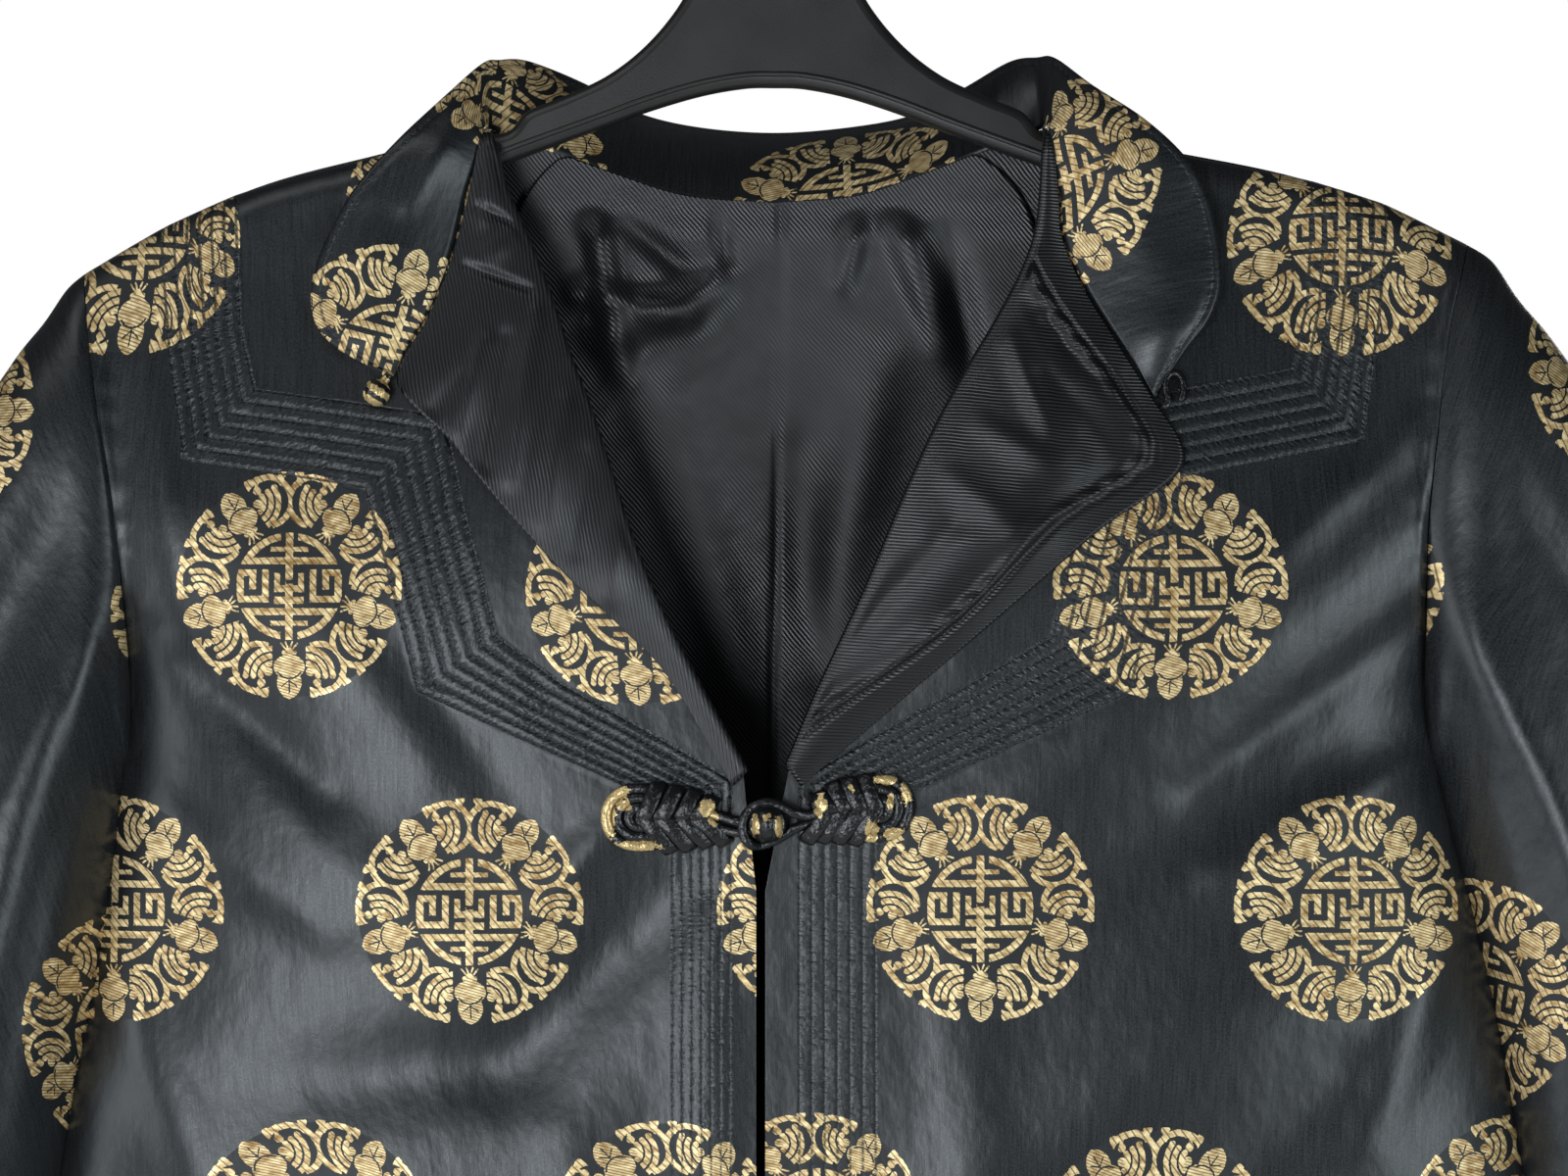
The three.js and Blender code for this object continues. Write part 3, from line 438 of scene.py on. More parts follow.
def armhole_bulge(share):
    """The armhole's half depth as a share of its most, easing out under the arm."""
    low = 0.5 + 0.5 * np.cos(math.pi * np.clip(2 * share - 1, 0, 1) ** 1.25)
    return np.where(share < 0.5, armhole_round(share), low)


def cloth_depth(name, x, h, full, folds):
    """How far the outer face of a front or back stands from the middle of the garment."""
    top = read(SHOULDER[name], np.abs(x))
    below = np.maximum(top - h, 0)
    middle = SHOULDER_ROUND * np.sqrt(1 - (1 - np.minimum(below / SHOULDER_ROUND, 1)) ** 2)
    middle = middle + full * ease(below, 0, 170)
    armhole = np.where(h > UNDERARM, 22 * armhole_bulge(below / (top - UNDERARM)), 0)
    rim = np.maximum(armhole, 11 * ease(-h, 560, -HEM)) + 0.15
    reach = np.clip(np.abs(x) / read(SIDE_SEAM[name], h), 0, 1)
    waves = (folded(folds, x, h) + hanging(name, x, h)) * ease(below, 10, 60)
    return blend(rim, middle + 0.15 + waves, np.sqrt(1 - reach ** 4))


def front_depth(name, x, h):
    return cloth_depth(name, x, h, 26, FRONT_FOLDS[name])


def back_depth(name, x, h):
    return cloth_depth(name, x, h, 17, [])


def lapel_line(name, row):
    """Roll point, edge point, and the way and width between them, at lapel rows of 0 to 20."""
    row = np.asarray(row, dtype=float) / 2
    roll = np.stack([read(LAPEL[name], row, 1), read(LAPEL[name], row, 2)], -1)
    edge = np.stack([read(LAPEL[name], row, 3), read(LAPEL[name], row, 4)], -1)
    width = np.linalg.norm(edge - roll, axis=-1, keepdims=True)
    return roll, edge, (edge - roll) / width, width[..., 0]


# The quilted band down to the first frog: the height or share of the side seam where a row starts, the
# band's outer place, its inner place, and the lapel row where it ends. Under the frog: seam, then band.
BAND = [
    (0.16, 204, 165, 180, 172, 18), (0.33, 198, 125, 175, 149, 16), (0.5, 168, 119, 143, 143, 14),
    (0.62, 137, 113, 111, 137, 12), (0.77, 130, 86, 104, 103, 10), (0.9, 124, 62, 98, 80, 8),
    (1, 119, 41, 93, 59, 6),
]
BAND_TURN = [(-5, 91, 28, 65, 43, 4), (-30, 62, 15, 36, 27, 2), (-55, 34, 2, 8.5, 11, 0)]
BELOW_FROG = [(-80, -26), (-104, -58), (-150, -118), (-210, -196), (-296, -290), (HEM, HEM)]
ROLL_BACK = 3.2
FIRST_BAND_KEY = 4
# Where the cloth turns over the shoulder: share of the armhole, then how far below the ridge.
TURNED_IN = ((0, 0.008, 0.025, 0.065), (0, 0.8, 2.8, 9.5))


def under_roll(name, row):
    """Where a front ends at a lapel row, a little under the roll."""
    roll, edge, way, width = lapel_line(name, row)
    return roll + way * ROLL_BACK


def front_plan(name):
    """The flat plan of a front: rows of places from the side seam over the band to the front edge."""
    tip = SIDE_SEAM[name][0][0]
    lift = max(EDGE[name], 0)
    neck = SHOULDER[name][1][0] + 1
    keys = []
    for share, drop in zip(*TURNED_IN):
        places = [(x, float(read(SHOULDER[name], x)) - drop) for x in (207, 182, neck)]
        keys.append((blend(tip, UNDERARM, share), *places[0], *places[1], *places[2]))
    for share, ox, oh, ix, ih, row in BAND:
        drop = (tip - SIDE_SEAM["right"][0][0]) * (1 - share)
        keys.append((blend(tip, UNDERARM, share), ox, oh + drop, ix, ih + drop, *under_roll(name, row)))
    for h, ox, oh, ix, ih, row in BAND_TURN:
        keys.append((h, ox, oh, ix + lift, ih, *under_roll(name, row)))
    for h, band in BELOW_FROG:
        keys.append((h, 34, band, 8.5 + lift, band, EDGE[name], band))
    keys = np.array(keys, dtype=float)
    rows = [keys[0]]
    for start, end in zip(keys[:-1], keys[1:]):
        reach = max(abs(end[0] - start[0]), np.hypot(*(end[1:3] - start[1:3])))
        steps = max(1, math.ceil(reach / (2.5 if end[0] > -215 else 9)))
        rows += [blend(start, end, k / steps) for k in range(1, steps + 1)]
    rows = np.array(rows)
    lapel_rows = [key[-1] for key in BAND + BAND_TURN]
    for k, (start, end) in enumerate(zip(lapel_rows, lapel_rows[1:]), start=FIRST_BAND_KEY):
        inside = np.where((rows[:, 0] <= keys[k, 0]) & (rows[:, 0] >= keys[k + 1, 0]))[0]
        share = (keys[k, 0] - rows[inside, 0]) / (keys[k, 0] - keys[k + 1, 0])
        rows[inside, 5:7] = under_roll(name, blend(start, end, share))
        if k == FIRST_BAND_KEY + 1:
            outer_corner = inside, blend(keys[k, 0], keys[k + 1, 0], share ** 0.6)
    rows[outer_corner[0], 0] = outer_corner[1]
    return rows


def sheet_mesh(name, points, flat, stitch, finishes, thickness, outward, wraps=False):
    """A cloth sheet from a grid of points, given a thin wall, with its two maps in millimetres.

    Where the flat map is a list, each entry holds the first row it serves and its grid. A sheet with no
    stitch map has no stitches."""
    if stitch is None:
        stitch = np.full(points.shape[:2] + (2,), -3.0)
    rows, columns = points.shape[:2]
    wide = columns - 1 if wraps else columns
    used = points[:, :wide].reshape(-1, 3)
    r, c = np.meshgrid(np.arange(rows - 1), np.arange(columns - 1), indexing="ij")
    corners = [(r, c), (r, c + 1), (r + 1, c + 1), (r + 1, c)]
    faces = np.stack([row * wide + column % wide for row, column in corners], -1).reshape(-1, 4)
    mapped = np.stack([row * columns + column for row, column in corners], -1).reshape(-1)
    parts = flat if isinstance(flat, list) else [(0, flat)]
    flat_corners = parts[0][1].reshape(-1, 2)[mapped]
    for first_row, part in parts[1:]:
        beyond = np.repeat(r.reshape(-1) >= first_row, 4)
        flat_corners[beyond] = part.reshape(-1, 2)[mapped][beyond]
    mesh = bpy.data.meshes.new(name)
    mesh.from_pydata(metres(used).tolist(), [], faces.tolist())
    for label, corner in (("pattern", flat_corners), ("stitch", stitch.reshape(-1, 2)[mapped])):
        layer = mesh.uv_layers.new(name=label)
        layer.data.foreach_set("uv", corner.reshape(-1).astype(np.float32))
    mesh.update()
    normals = np.empty(len(mesh.polygons) * 3, dtype=np.float32)
    mesh.polygons.foreach_get("normal", normals)
    if np.sum(normals.reshape(-1, 3) * outward(points, r, c)) < 0:
        mesh.flip_normals()
    for finish in finishes:
        mesh.materials.append(finish)
    made = put_in(name, mesh)
    wall = made.modifiers.new("wall", "SOLIDIFY")
    wall.thickness = thickness / 1000
    wall.offset = -1
    wall.use_rim = True
    wall.use_even_offset = False
    if len(finishes) > 1:
        wall.material_offset = 1
    bpy.ops.object.modifier_apply(modifier="wall")
    bpy.ops.object.shade_smooth()
    return made


def facing_front(points, r, c):
    """The way a sheet's outer side looks, the same for all its faces; points, r and c are not used."""
    return np.array((0, -1, 0))


def facing_back(points, r, c):
    return np.array((0, 1, 0))


# The woven medallion of the brocade, charted in millimetres: a round longevity sign in a ring of
# five bats. Bars are middle and half size; the rest lies on half a bat, across and outwards.
SIGN_BARS = [(0, 9, 1.25, 8.9), (0, 12.4, 6.3, 0.8), (0, 8.5, 15.4, 1.15)]
KEY_BARS = [(16.5, 0.1, 1.2, 5.5), (14.3, 4.5, 3.2, 1.1), (12.3, 2.2, 1.1, 3.3), (12, -4.3, 4.9, 1.1),
            (8, 0.1, 1.1, 5.5), (4, 1.2, 0.95, 3.2), (2.4, -0.8, 2.6, 1.1), (2.4, -4.7, 2.6, 1.2)]
BAT_BODY = (27, 5.3, 4.0)
BAT_TAIL = (-1.64, 32.3, 0)
TAIL_RADIUS = 5.8
BAT_DISCS = [(0, 22, 1.5), (1.7, 22.3, 0.8), (9.5, 32.3, 1.35), (8.4, 36.2, 1.3), (19.6, 32.1, 1.5),
             (14.9, 30, 1.0), (12.3, 30, 1.0), (9.7, 30, 1.0), (7.2, 28.6, 1.5)]
BAT_RINGS = [(10.4, 27.4, 8.1, 1.0, 3.4, None), (5.7, 30, 9.1, 0.9, 0, 0.2), (5.7, 30, 6.6, 0.9, 0, 0.2),
             (5.7, 30, 4.1, 0.9, 0, 0.2)]
BAT_STRIPS = [(14.4, 34.1, 8.4, 36.2, 0.85), (17.7, 29.6, 19.3, 31.6, 0.8), (9.9, 33.4, 11.2, 35, 0.6),
              (0.4, 20.6, 1.1, 18.7, 0.28), (1.3, 21, 2.7, 19.2, 0.28)]
REPEAT = (121, 218)


def charted_medallion():
    """A node group that finds the gold of the medallions at a place on the flat cloth."""
    tree = bpy.data.node_groups.new("medallion", "ShaderNodeTree")
    tree.interface.new_socket("Place", in_out="INPUT", socket_type="NodeSocketVector")
    for label in ("Gold", "Ground", "Line"):
        tree.interface.new_socket(label, in_out="OUTPUT", socket_type="NodeSocketFloat")
    place = tree.nodes.new("NodeGroupInput").outputs[0]
    half = (REPEAT[0] / 2, REPEAT[1] / 2, 1)
    less = tuple(-value for value in half)
    even = vectors("WRAP", place, half, less)
    odd = vectors("WRAP", vectors("ADD", place, (half[0], half[1], 0)), half, less)
    far = vectors("LENGTH", even) > vectors("LENGTH", odd)
    spot = vectors("ADD", even, vectors("SCALE", vectors("SUBTRACT", odd, even), None, None, far))
    away = vectors("LENGTH", spot)
    frayed = (noise(place, 1.1, 1) - 0.5) * 0.5

    def bar(where, x, y, wide, high):
        """How far a place lies outside a bar, below 0 within it."""
        gap = vectors("SUBTRACT", vectors("ABSOLUTE", vectors("SUBTRACT", where, (x, y, 0))), (wide, high, 0))
        return most(*split(gap)[:2])

    quarter = vectors("ABSOLUTE", spot)
    parts = split(spot)
    mirror = node(tree, "CombineXYZ", abs(parts[0]), parts[1], 0).outputs[0]
    corner = split(quarter)
    sign = most(most(abs(away - 16.8) - 1.2, 7.4 - corner[1]), 2.9 - corner[0])
    for row in SIGN_BARS:
        sign = least(sign, bar(quarter, *row))
    for row in KEY_BARS:
        sign = least(sign, bar(mirror, *row))
    hole = bar(spot, 0.1, 1.5, 1.25, 0.65)
    sign = most(most(sign, hole * -1), away - 17.95)

    turn = maths("ARCTAN2", parts[1], parts[0]) + math.pi / 2
    turn = maths("WRAP", turn, math.pi / 5, -math.pi / 5)
    beside = abs(away * maths("SINE", turn))
    outwards = away * maths("COSINE", turn)
    bat = node(tree, "CombineXYZ", beside, outwards, 0).outputs[0]
    y, wide, high = BAT_BODY
    offset = vectors("MULTIPLY", vectors("SUBTRACT", bat, (0, y, 0)), (1 / wide, 1 / high, 0))
    gold = (vectors("LENGTH", offset) - 1) * high
    gold = least(gold, vectors("DISTANCE", bat, BAT_TAIL) - TAIL_RADIUS)
    seam = most(abs(vectors("DISTANCE", bat, (0, 26.2, 0)) - 4.7) - 0.3, 28.6 - outwards)
    seam = least(seam, bar(bat, 0, 33.6, 0.25, 2.2))
    vein = most(abs(outwards + beside * -0.75 - 31.6) - 0.28, beside - 2.7)
    gold = most(gold, least(seam, vein) * -1)
    for x, y, radius, wide, left, up in BAT_RINGS:
        ring = most(abs(vectors("DISTANCE", bat, (x, y, 0)) - radius) - wide, x - left - beside)
        if up is not None:
            ring = most(ring, outwards - (y + up))
        gold = least(gold, ring)
    for x, y, radius in BAT_DISCS:
        gold = least(gold, vectors("DISTANCE", bat, (x, y, 0)) - radius)
    for x0, y0, x1, y1, wide in BAT_STRIPS:
        length = math.hypot(x1 - x0, y1 - y0)
        way = ((x1 - x0) / length, (y1 - y0) / length, 0)
        offset = vectors("SUBTRACT", bat, (x0, y0, 0))
        along = least(most(vectors("DOT_PRODUCT", offset, way), 0), length)
        strip = vectors("DISTANCE", offset, vectors("SCALE", way, None, None, along))
        gold = least(gold, strip - wide)
    gold = most(gold, away - 38.2)
    gold = least(gold, sign) + frayed < 0
    rope = maths("FRACT", vectors("DOT_PRODUCT", spot, (0.36, 0.3, 0))) < 0.22
    ribs = maths("FRACT", vectors("DOT_PRODUCT", spot, (0.3, 1.02, 0))) < 0.34
    on_body = vectors("DISTANCE", bat, (0, 30, 0)) < 8
    line = rope * (1 - on_body) + ribs * on_body
    out = tree.nodes.new("NodeGroupOutput")
    for value, socket in zip((gold, away < 37.2, line), out.inputs):
        tree.links.new(value.socket, socket)
    return tree


brocade, tree, shader = bare_finish("brocade_satin")
flat_map = node(tree, "UVMap", uv_map="pattern").outputs[0]
stitch_map = node(tree, "UVMap", uv_map="stitch").outputs[0]
gold, ground, line = map(Number, node(tree, "Group", flat_map, node_tree=charted_medallion()).outputs)
streak = noise(vectors("MULTIPLY", flat_map, (2.2, 0.06, 0)), 1, 2)
strand = noise(vectors("MULTIPLY", flat_map, (0.8, 0.02, 0)), 1, 2)
weave = noise(flat_map, 1.5, 1)
streak = maths("MULTIPLY_ADD", strand, 0.14, maths("MULTIPLY_ADD", weave, 0.46, streak * 0.4))
streak = maths("MULTIPLY_ADD", streak, 3, -1)
cloudy = noise(vectors("MULTIPLY", flat_map, (0.02, 0.012, 0)), 1, 3)
satin = mixed(streak, (0.0012, 0.0015, 0.002, 1), (0.017, 0.0195, 0.0225, 1))
satin = mixed(ground * 0.5, satin, (0.003, 0.0034, 0.004, 1))
thread_tone = noise(vectors("MULTIPLY", flat_map, (0.28, 0.5, 0)), 1, 2)
thread_tone = maths("MULTIPLY_ADD", thread_tone - 0.5, 2.4, 0.55)
thread_tone = maths("MULTIPLY_ADD", cloudy - 0.5, 1.3, thread_tone)
thread = mixed(thread_tone, (0.33, 0.19, 0.055, 1), (1, 0.82, 0.46, 1))
thread = mixed(line * 0.75, thread, (0.06, 0.034, 0.013, 1))
colour = mixed(gold, satin, thread)
across_band, along_band = split(stitch_map)[:2]
beside_line = abs(across_band - maths("ROUND", across_band))
in_band = (across_band > -0.2) * (across_band < 6.2)
dash = maths("FRACT", along_band / 2.7) < 0.55
stitch = (beside_line < 0.07) * in_band * dash
above_frog = maths("MULTIPLY_ADD", along_band < 0, 0.4, 0.3)
# Painted shade: the colour darkens in the narrow groove along each stitch line, more above the frog.
groove_shade = (beside_line < 0.13) * in_band
colour = mixed(groove_shade * above_frog, colour, (0.0015, 0.0018, 0.002, 1))
# The dashes are the real stitches; their lighter grey is a painted glint on the black thread.
colour = mixed(stitch * 0.75, colour, (0.03, 0.034, 0.038, 1))
rough = maths("MULTIPLY_ADD", ground, 0.14, maths("MULTIPLY_ADD", streak, 0.12, 0.31))
rough = maths("MULTIPLY_ADD", gold, 0.02, rough)
pucker = noise(vectors("MULTIPLY", stitch_map, (1.1, 0.62, 0)), 1, 2) - 0.5
near_line = 1 - beside_line * 2
pucker = maths("MULTIPLY_ADD", pucker, near_line * 1.7, near_line ** 5 * -0.3) * above_frog * in_band
crumple = noise(vectors("MULTIPLY", flat_map, (0.085, 0.05, 0)), 1, 3)
height = maths("MULTIPLY_ADD", streak, 0.016, maths("MULTIPLY_ADD", crumple, 0.55, pucker))
height = maths("MULTIPLY_ADD", stitch, -0.12, height)
wired(shader, colour, rough, height, tint=(0.9, 0.96, 1, 1), metal=gold * 0.45)
shader.inputs["Sheen Weight"].default_value = 0.04
shader.inputs["Sheen Roughness"].default_value = 0.35


def twill_finish(name, slope, pitch, tone):
    """Black twill with fine ribs at a slope, a pitch apart in millimetres."""
    made, tree, shader = bare_finish(name)
    flat_map = node(tree, "UVMap", uv_map="pattern").outputs[0]
    wander = noise(flat_map, 0.05, 2)
    across = vectors("DOT_PRODUCT", flat_map, (math.cos(slope) / pitch, math.sin(slope) / pitch, 0))
    across = maths("MULTIPLY_ADD", wander, 2.0, across)
    rib = maths("MULTIPLY_ADD", maths("SINE", across * (2 * math.pi)), 0.5, 0.5)
    fleck = noise(flat_map, 1.6, 2)
    shade = rib * maths("MULTIPLY_ADD", fleck, 0.9, 0.45)
    wired(shader, mixed(shade, *tone), maths("MULTIPLY_ADD", fleck, 0.14, 0.3), rib * 0.13,
          tint=(0.93, 0.95, 1, 1))
    return made


TWILL_TONE = ((0.0012, 0.0013, 0.0017, 1), (0.017, 0.0185, 0.0215, 1))
inner_twill = twill_finish("twill_lining", math.radians(40), 1.2, TWILL_TONE)

# Where a medallion sits off the even lattice: its place, then how far it moves.
LATTICE_START = {"right": (69, -32), "left": (-102, -33)}
NUDGES = {
    "right": [(134, 75, 4.5, -2), (195, -33, 5, -1), (15, -136, 6.5, 5), (126, -146, -3.5, -5), (190, 189, 2, 10),
              (226, 72, 10, 0)],
    "left": [(-112, 210, -10, 25), (-214, 190, 9, 13), (-48, 72, -6.5, -4), (-148, -140, 14.5, 2),
             (-33, -140, 8.5, 2)],
}


def pattern_map(name, x, h):
    """The flat place in the brocade's repeat of a place on a front."""
    u, v = x - LATTICE_START[name][0], h - LATTICE_START[name][1]
    for across, high, right, up in NUDGES[name]:
        near = np.exp(-((x - across) ** 2 + (h - high) ** 2) / 45 ** 2)
        u, v = u - right * near, v - up * near
    return np.stack([u, v], -1)


def make_front(name):
    """A front as a thin sheet, with the band's ridges and stitches and the gathers at the armhole."""
    plan = front_plan(name)
    side = np.stack([read(SIDE_SEAM[name], plan[:, 0]), plan[:, 0]], -1)
    side[plan[:, 0] >= UNDERARM, 0] -= 0.15
    outer, inner, end = plan[:, 1:3], plan[:, 3:5], plan[:, 5:7]
    shares = np.concatenate([(np.arange(60) / 60) ** 1.5, 1 + np.arange(36) / 36, 2 + np.arange(35) / 34])
    places = np.empty((len(plan), len(shares), 2))
    for c, share in enumerate(shares):
        part = min(int(share), 2)
        first, second = ((side, outer), (outer, inner), (inner, end))[part]
        places[:, c] = blend(first, second, share - part)
    x, h = places[..., 0], places[..., 1]
    before = np.hypot(x - outer[:, :1], h - outer[:, 1:])
    after = np.hypot(x - inner[:, :1], h - inner[:, 1:])
    across = np.where(shares < 1, -before / 4.4, np.where(shares <= 2, (shares - 1) * 6, 6 + after / 4.4))
    middle = (outer + inner) / 2
    run = running(middle)[:, None]
    run = run - run[int(np.argmax(middle[:, 1] < -5))]
    along = np.broadcast_to(run, x.shape)
    uneven = 0.78 + 0.22 * np.sin(along / 5.3 + 2.2 * np.round(across)) * np.sin(along / 13.1 + across)
    ridge = np.abs(np.sin(math.pi * across)) ** 0.5 * uneven * 0.5
    ridge = np.where((across > 0) & (across < 6), ridge, 0)
    flatter = 1 - 0.86 * ease(-h, -12, 30)
    from_seam = side[:, :1] - x
    gathers = np.sin(h / 1.9 + 1.3 * np.sin(h / 7.3)) * np.exp(-((from_seam - 3.5) / 3.5) ** 2)
    gathers = 0.14 * gathers * ease(h, 14, 34) + 0.35 * np.exp(-((from_seam - 2.2) / 1.8) ** 2) * ease(h, -60, 10)
    depth = front_depth(name, x, h) + ridge * flatter + folded(FINE_FOLDS[name], x, h) + gathers
    points = np.stack([SIGN[name] * x, -depth, h], -1)
    flat = pattern_map(name, SIGN[name] * x, h)
    stitch = np.stack([across, along], -1)
    return sheet_mesh("front_panel_" + name, points, flat, stitch, [brocade, inner_twill], 0.9, facing_front)


for name in ("right", "left"):
    panel = make_front(name)
    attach(panel, "root")
    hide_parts("front_" + name)

# The back: one piece of the same brocade from side seam to side seam, with its neck hollowed for the
# collar. It hangs over the hanger's arms and falls in long folds to the hem.
BACK_NECK = [(0, 207), (32, 210), (53, 217), (69, 223), (93, 231.6)]
BACK_FOLDS = [(-190, 120, -80, 40, 16, 1.6), (188, 128, 70, 50, 15, 1.5), (-200, 40, -120, -60, 16, 1.4),
              (205, 36, 130, -50, 18, -1.3), (20, 150, 60, 20, 14, -1.0), (-60, 170, -20, 60, 12, 1.0),
              (-130, -100, -90, -300, 20, 2.2), (120, -140, 100, -340, 22, -2.0), (10, -60, -10, -240, 18, 1.6)]


def back_top(name, x):
    """The back's top edge: the hollow of the neck, then the shoulder."""
    neck = SHOULDER[name][1][0]
    return np.where(x < neck, read(BACK_NECK, x * 93 / neck), read(SHOULDER[name], x))


def back_side(name, shares):
    """Half of the back's outer face, rows down and columns out to the side seam."""
    tip = SIDE_SEAM[name][0][0]
    armhole = np.concatenate([[0, 0.003, 0.008, 0.016, 0.025, 0.04], np.linspace(0.065, 1, 56)])
    rows = [("armhole", value) for value in armhole]
    rows += [("body", value) for value in np.concatenate([np.linspace(12, -300, 64), np.linspace(-308, HEM, 84)])]
    grid = np.empty((len(rows), len(shares), 2))
    top = back_top(name, shares * float(read(SIDE_SEAM[name], tip)))
    for r, (part, value) in enumerate(rows):
        if part == "body":
            grid[r] = np.stack([shares * read(SIDE_SEAM[name], value), np.full(len(shares), value)], -1)
            continue
        seam = blend(tip, UNDERARM, value)
        turned = top - np.interp(value, *TURNED_IN)
        lowered = blend(seam, top - tip + seam, 1 - ease(value, 0, 1))
        level = blend(turned, lowered, ease(value, 0.05, 0.12))
        level = np.where(shares >= 1, seam, level)
        grid[r] = np.stack([shares * (read(SIDE_SEAM[name], seam) - 0.15), level], -1)
    x, h = grid[..., 0], grid[..., 1]
    return np.stack([SIGN[name] * x, back_depth(name, x, h), h], -1)


def back_creased(points):
    """The creases of the back pressed into points on it."""
    x, h = points[..., 0], points[..., 2]
    points[..., 1] += folded(BACK_FOLDS, x, h) * ease(250 - h, 20, 90) * (1 - (np.abs(x) / 340) ** 2)
    return x, h


shares = np.sin(np.linspace(0, 1, 56) * math.pi / 2) ** 0.85
right_half, left_half = back_side("right", shares), back_side("left", shares)
points = np.concatenate([left_half[:, ::-1][:, :-1], right_half], 1)
x, h = back_creased(points)
points[..., 1] -= 0.7 * np.exp(-(x / 1.3) ** 2) * ease(215 - h, 4, 20)
flat = np.stack([x + 40, h + 62], -1)
back = sheet_mesh("back_panel", points, flat, None, [brocade, inner_twill], 0.9, facing_back)
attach(back, "root")
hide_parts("back")

# The lining of the back, black twill in two halves that meet in a seam down the middle. It is sewn in
# round the neck and lies loose against the back in soft creases.
LINING = [(206, 70), (170, 86), (120, 92), (60, 80), (0, 68), (-40, 62)]
LINING_TOP, LINING_LONG = 207, 245
LINING_FOLDS = [(-62, 208, -52, 150, 5, 1.8), (-50, 200, -28, 182, 4, -1.2), (-66, 176, -30, 168, 5, 1.6),
                (-58, 160, -20, 178, 6, 1.4), (40, 206, 58, 160, 6, 1.5), (58, 196, 70, 140, 6, -1.2),
                (30, 206, 24, 180, 4, 1.0), (-40, 140, -10, 40, 9, 1.0), (36, 150, 16, 50, 10, 0.9),
                (-20, 206, -16, 188, 3, -0.8), (6, 120, 20, 20, 8, -0.8)]
below = np.linspace(0, LINING_LONG, 90)[:, None]
share = np.linspace(-1, 1, 110)[None, :]
grids = []
for name in ("left", "right"):
    x = np.abs(share) * read(LINING, LINING_TOP - below)
    lift = 1 - below / LINING_LONG
    top = np.minimum(back_top(name, x) - 0.3, read(SHOULDER[name], x) - 13)
    h = blend(LINING_TOP - below, top, lift ** 2)
    grids.append(np.stack([SIGN[name] * x, back_depth(name, x, h) - 2.2, h], -1))
points = np.where(share[..., None] < 0, grids[0], grids[1])
x, h = back_creased(points)
points[..., 1] -= (1.6 + 3.2 * folded(LINING_FOLDS, x, h)) * ease(LINING_TOP - h, 0, 14)
points[..., 1] += 1.3 * np.exp(-((x + 1 - h / 60) / 0.9) ** 2)
lining = sheet_mesh("lining_panel", points, points[..., [0, 2]], None, [inner_twill], 0.8, facing_back)
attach(lining, "root")
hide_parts("lining_back")

# The facings: black twill that lines each front's edge, rolls out over it and lies back as a lapel. The
# right one has a narrow strip sewn on in a puckered seam along its outer edge.
ROLL_RADIUS = 1.9
ROLL_STEPS = 13
LAPEL_ROWS = np.concatenate([np.linspace(0, 18, 176), np.linspace(18.15, 20, 14)])
LAPEL_CREASES = {
    "right": [(26, 60, 60, 96, 4, -1.0), (60, 112, 80, 96, 5, 1.1), (70, 130, 100, 112, 5, 1.1),
              (80, 158, 92, 128, 4, 1.2), (88, 176, 100, 150, 4, -1.0), (52, 90, 90, 92, 6, 1.0),
              (92, 148, 112, 122, 4, -0.9), (84, 196, 90, 170, 3, 1.0)],
    "left": [(100, 204, 87, 198, 1.5, -1.3), (96, 216, 97, 200, 3.5, 1.3), (104, 184, 82, 176, 1.6, -1.6),
             (90, 194, 98, 186, 5, 1.2), (80, 168, 88, 112, 3.2, 1.5), (90, 160, 97, 116, 3, -1.4),
             (98, 158, 107, 124, 3.2, 1.6), (70, 138, 76, 98, 4, 1.3), (62, 120, 66, 88, 4, -1.0),
             (50, 94, 56, 70, 4, 0.9), (106, 146, 118, 130, 3, -0.9)],
}
PUCKERED = {"right": 12, "left": 0}
# Painted shade: the right lapel gets a darker copy of the same twill as the left lapel.
SHADED_TWILL_TONE = ((0.0008, 0.0009, 0.0012, 1), (0.0085, 0.0093, 0.011, 1))
lapel_twill = {
    "right": twill_finish("twill_lapel_right_shaded", math.radians(86), 1.15, SHADED_TWILL_TONE),
    "left": twill_finish("twill_lapel_left", math.radians(9), 1.2, TWILL_TONE),
}
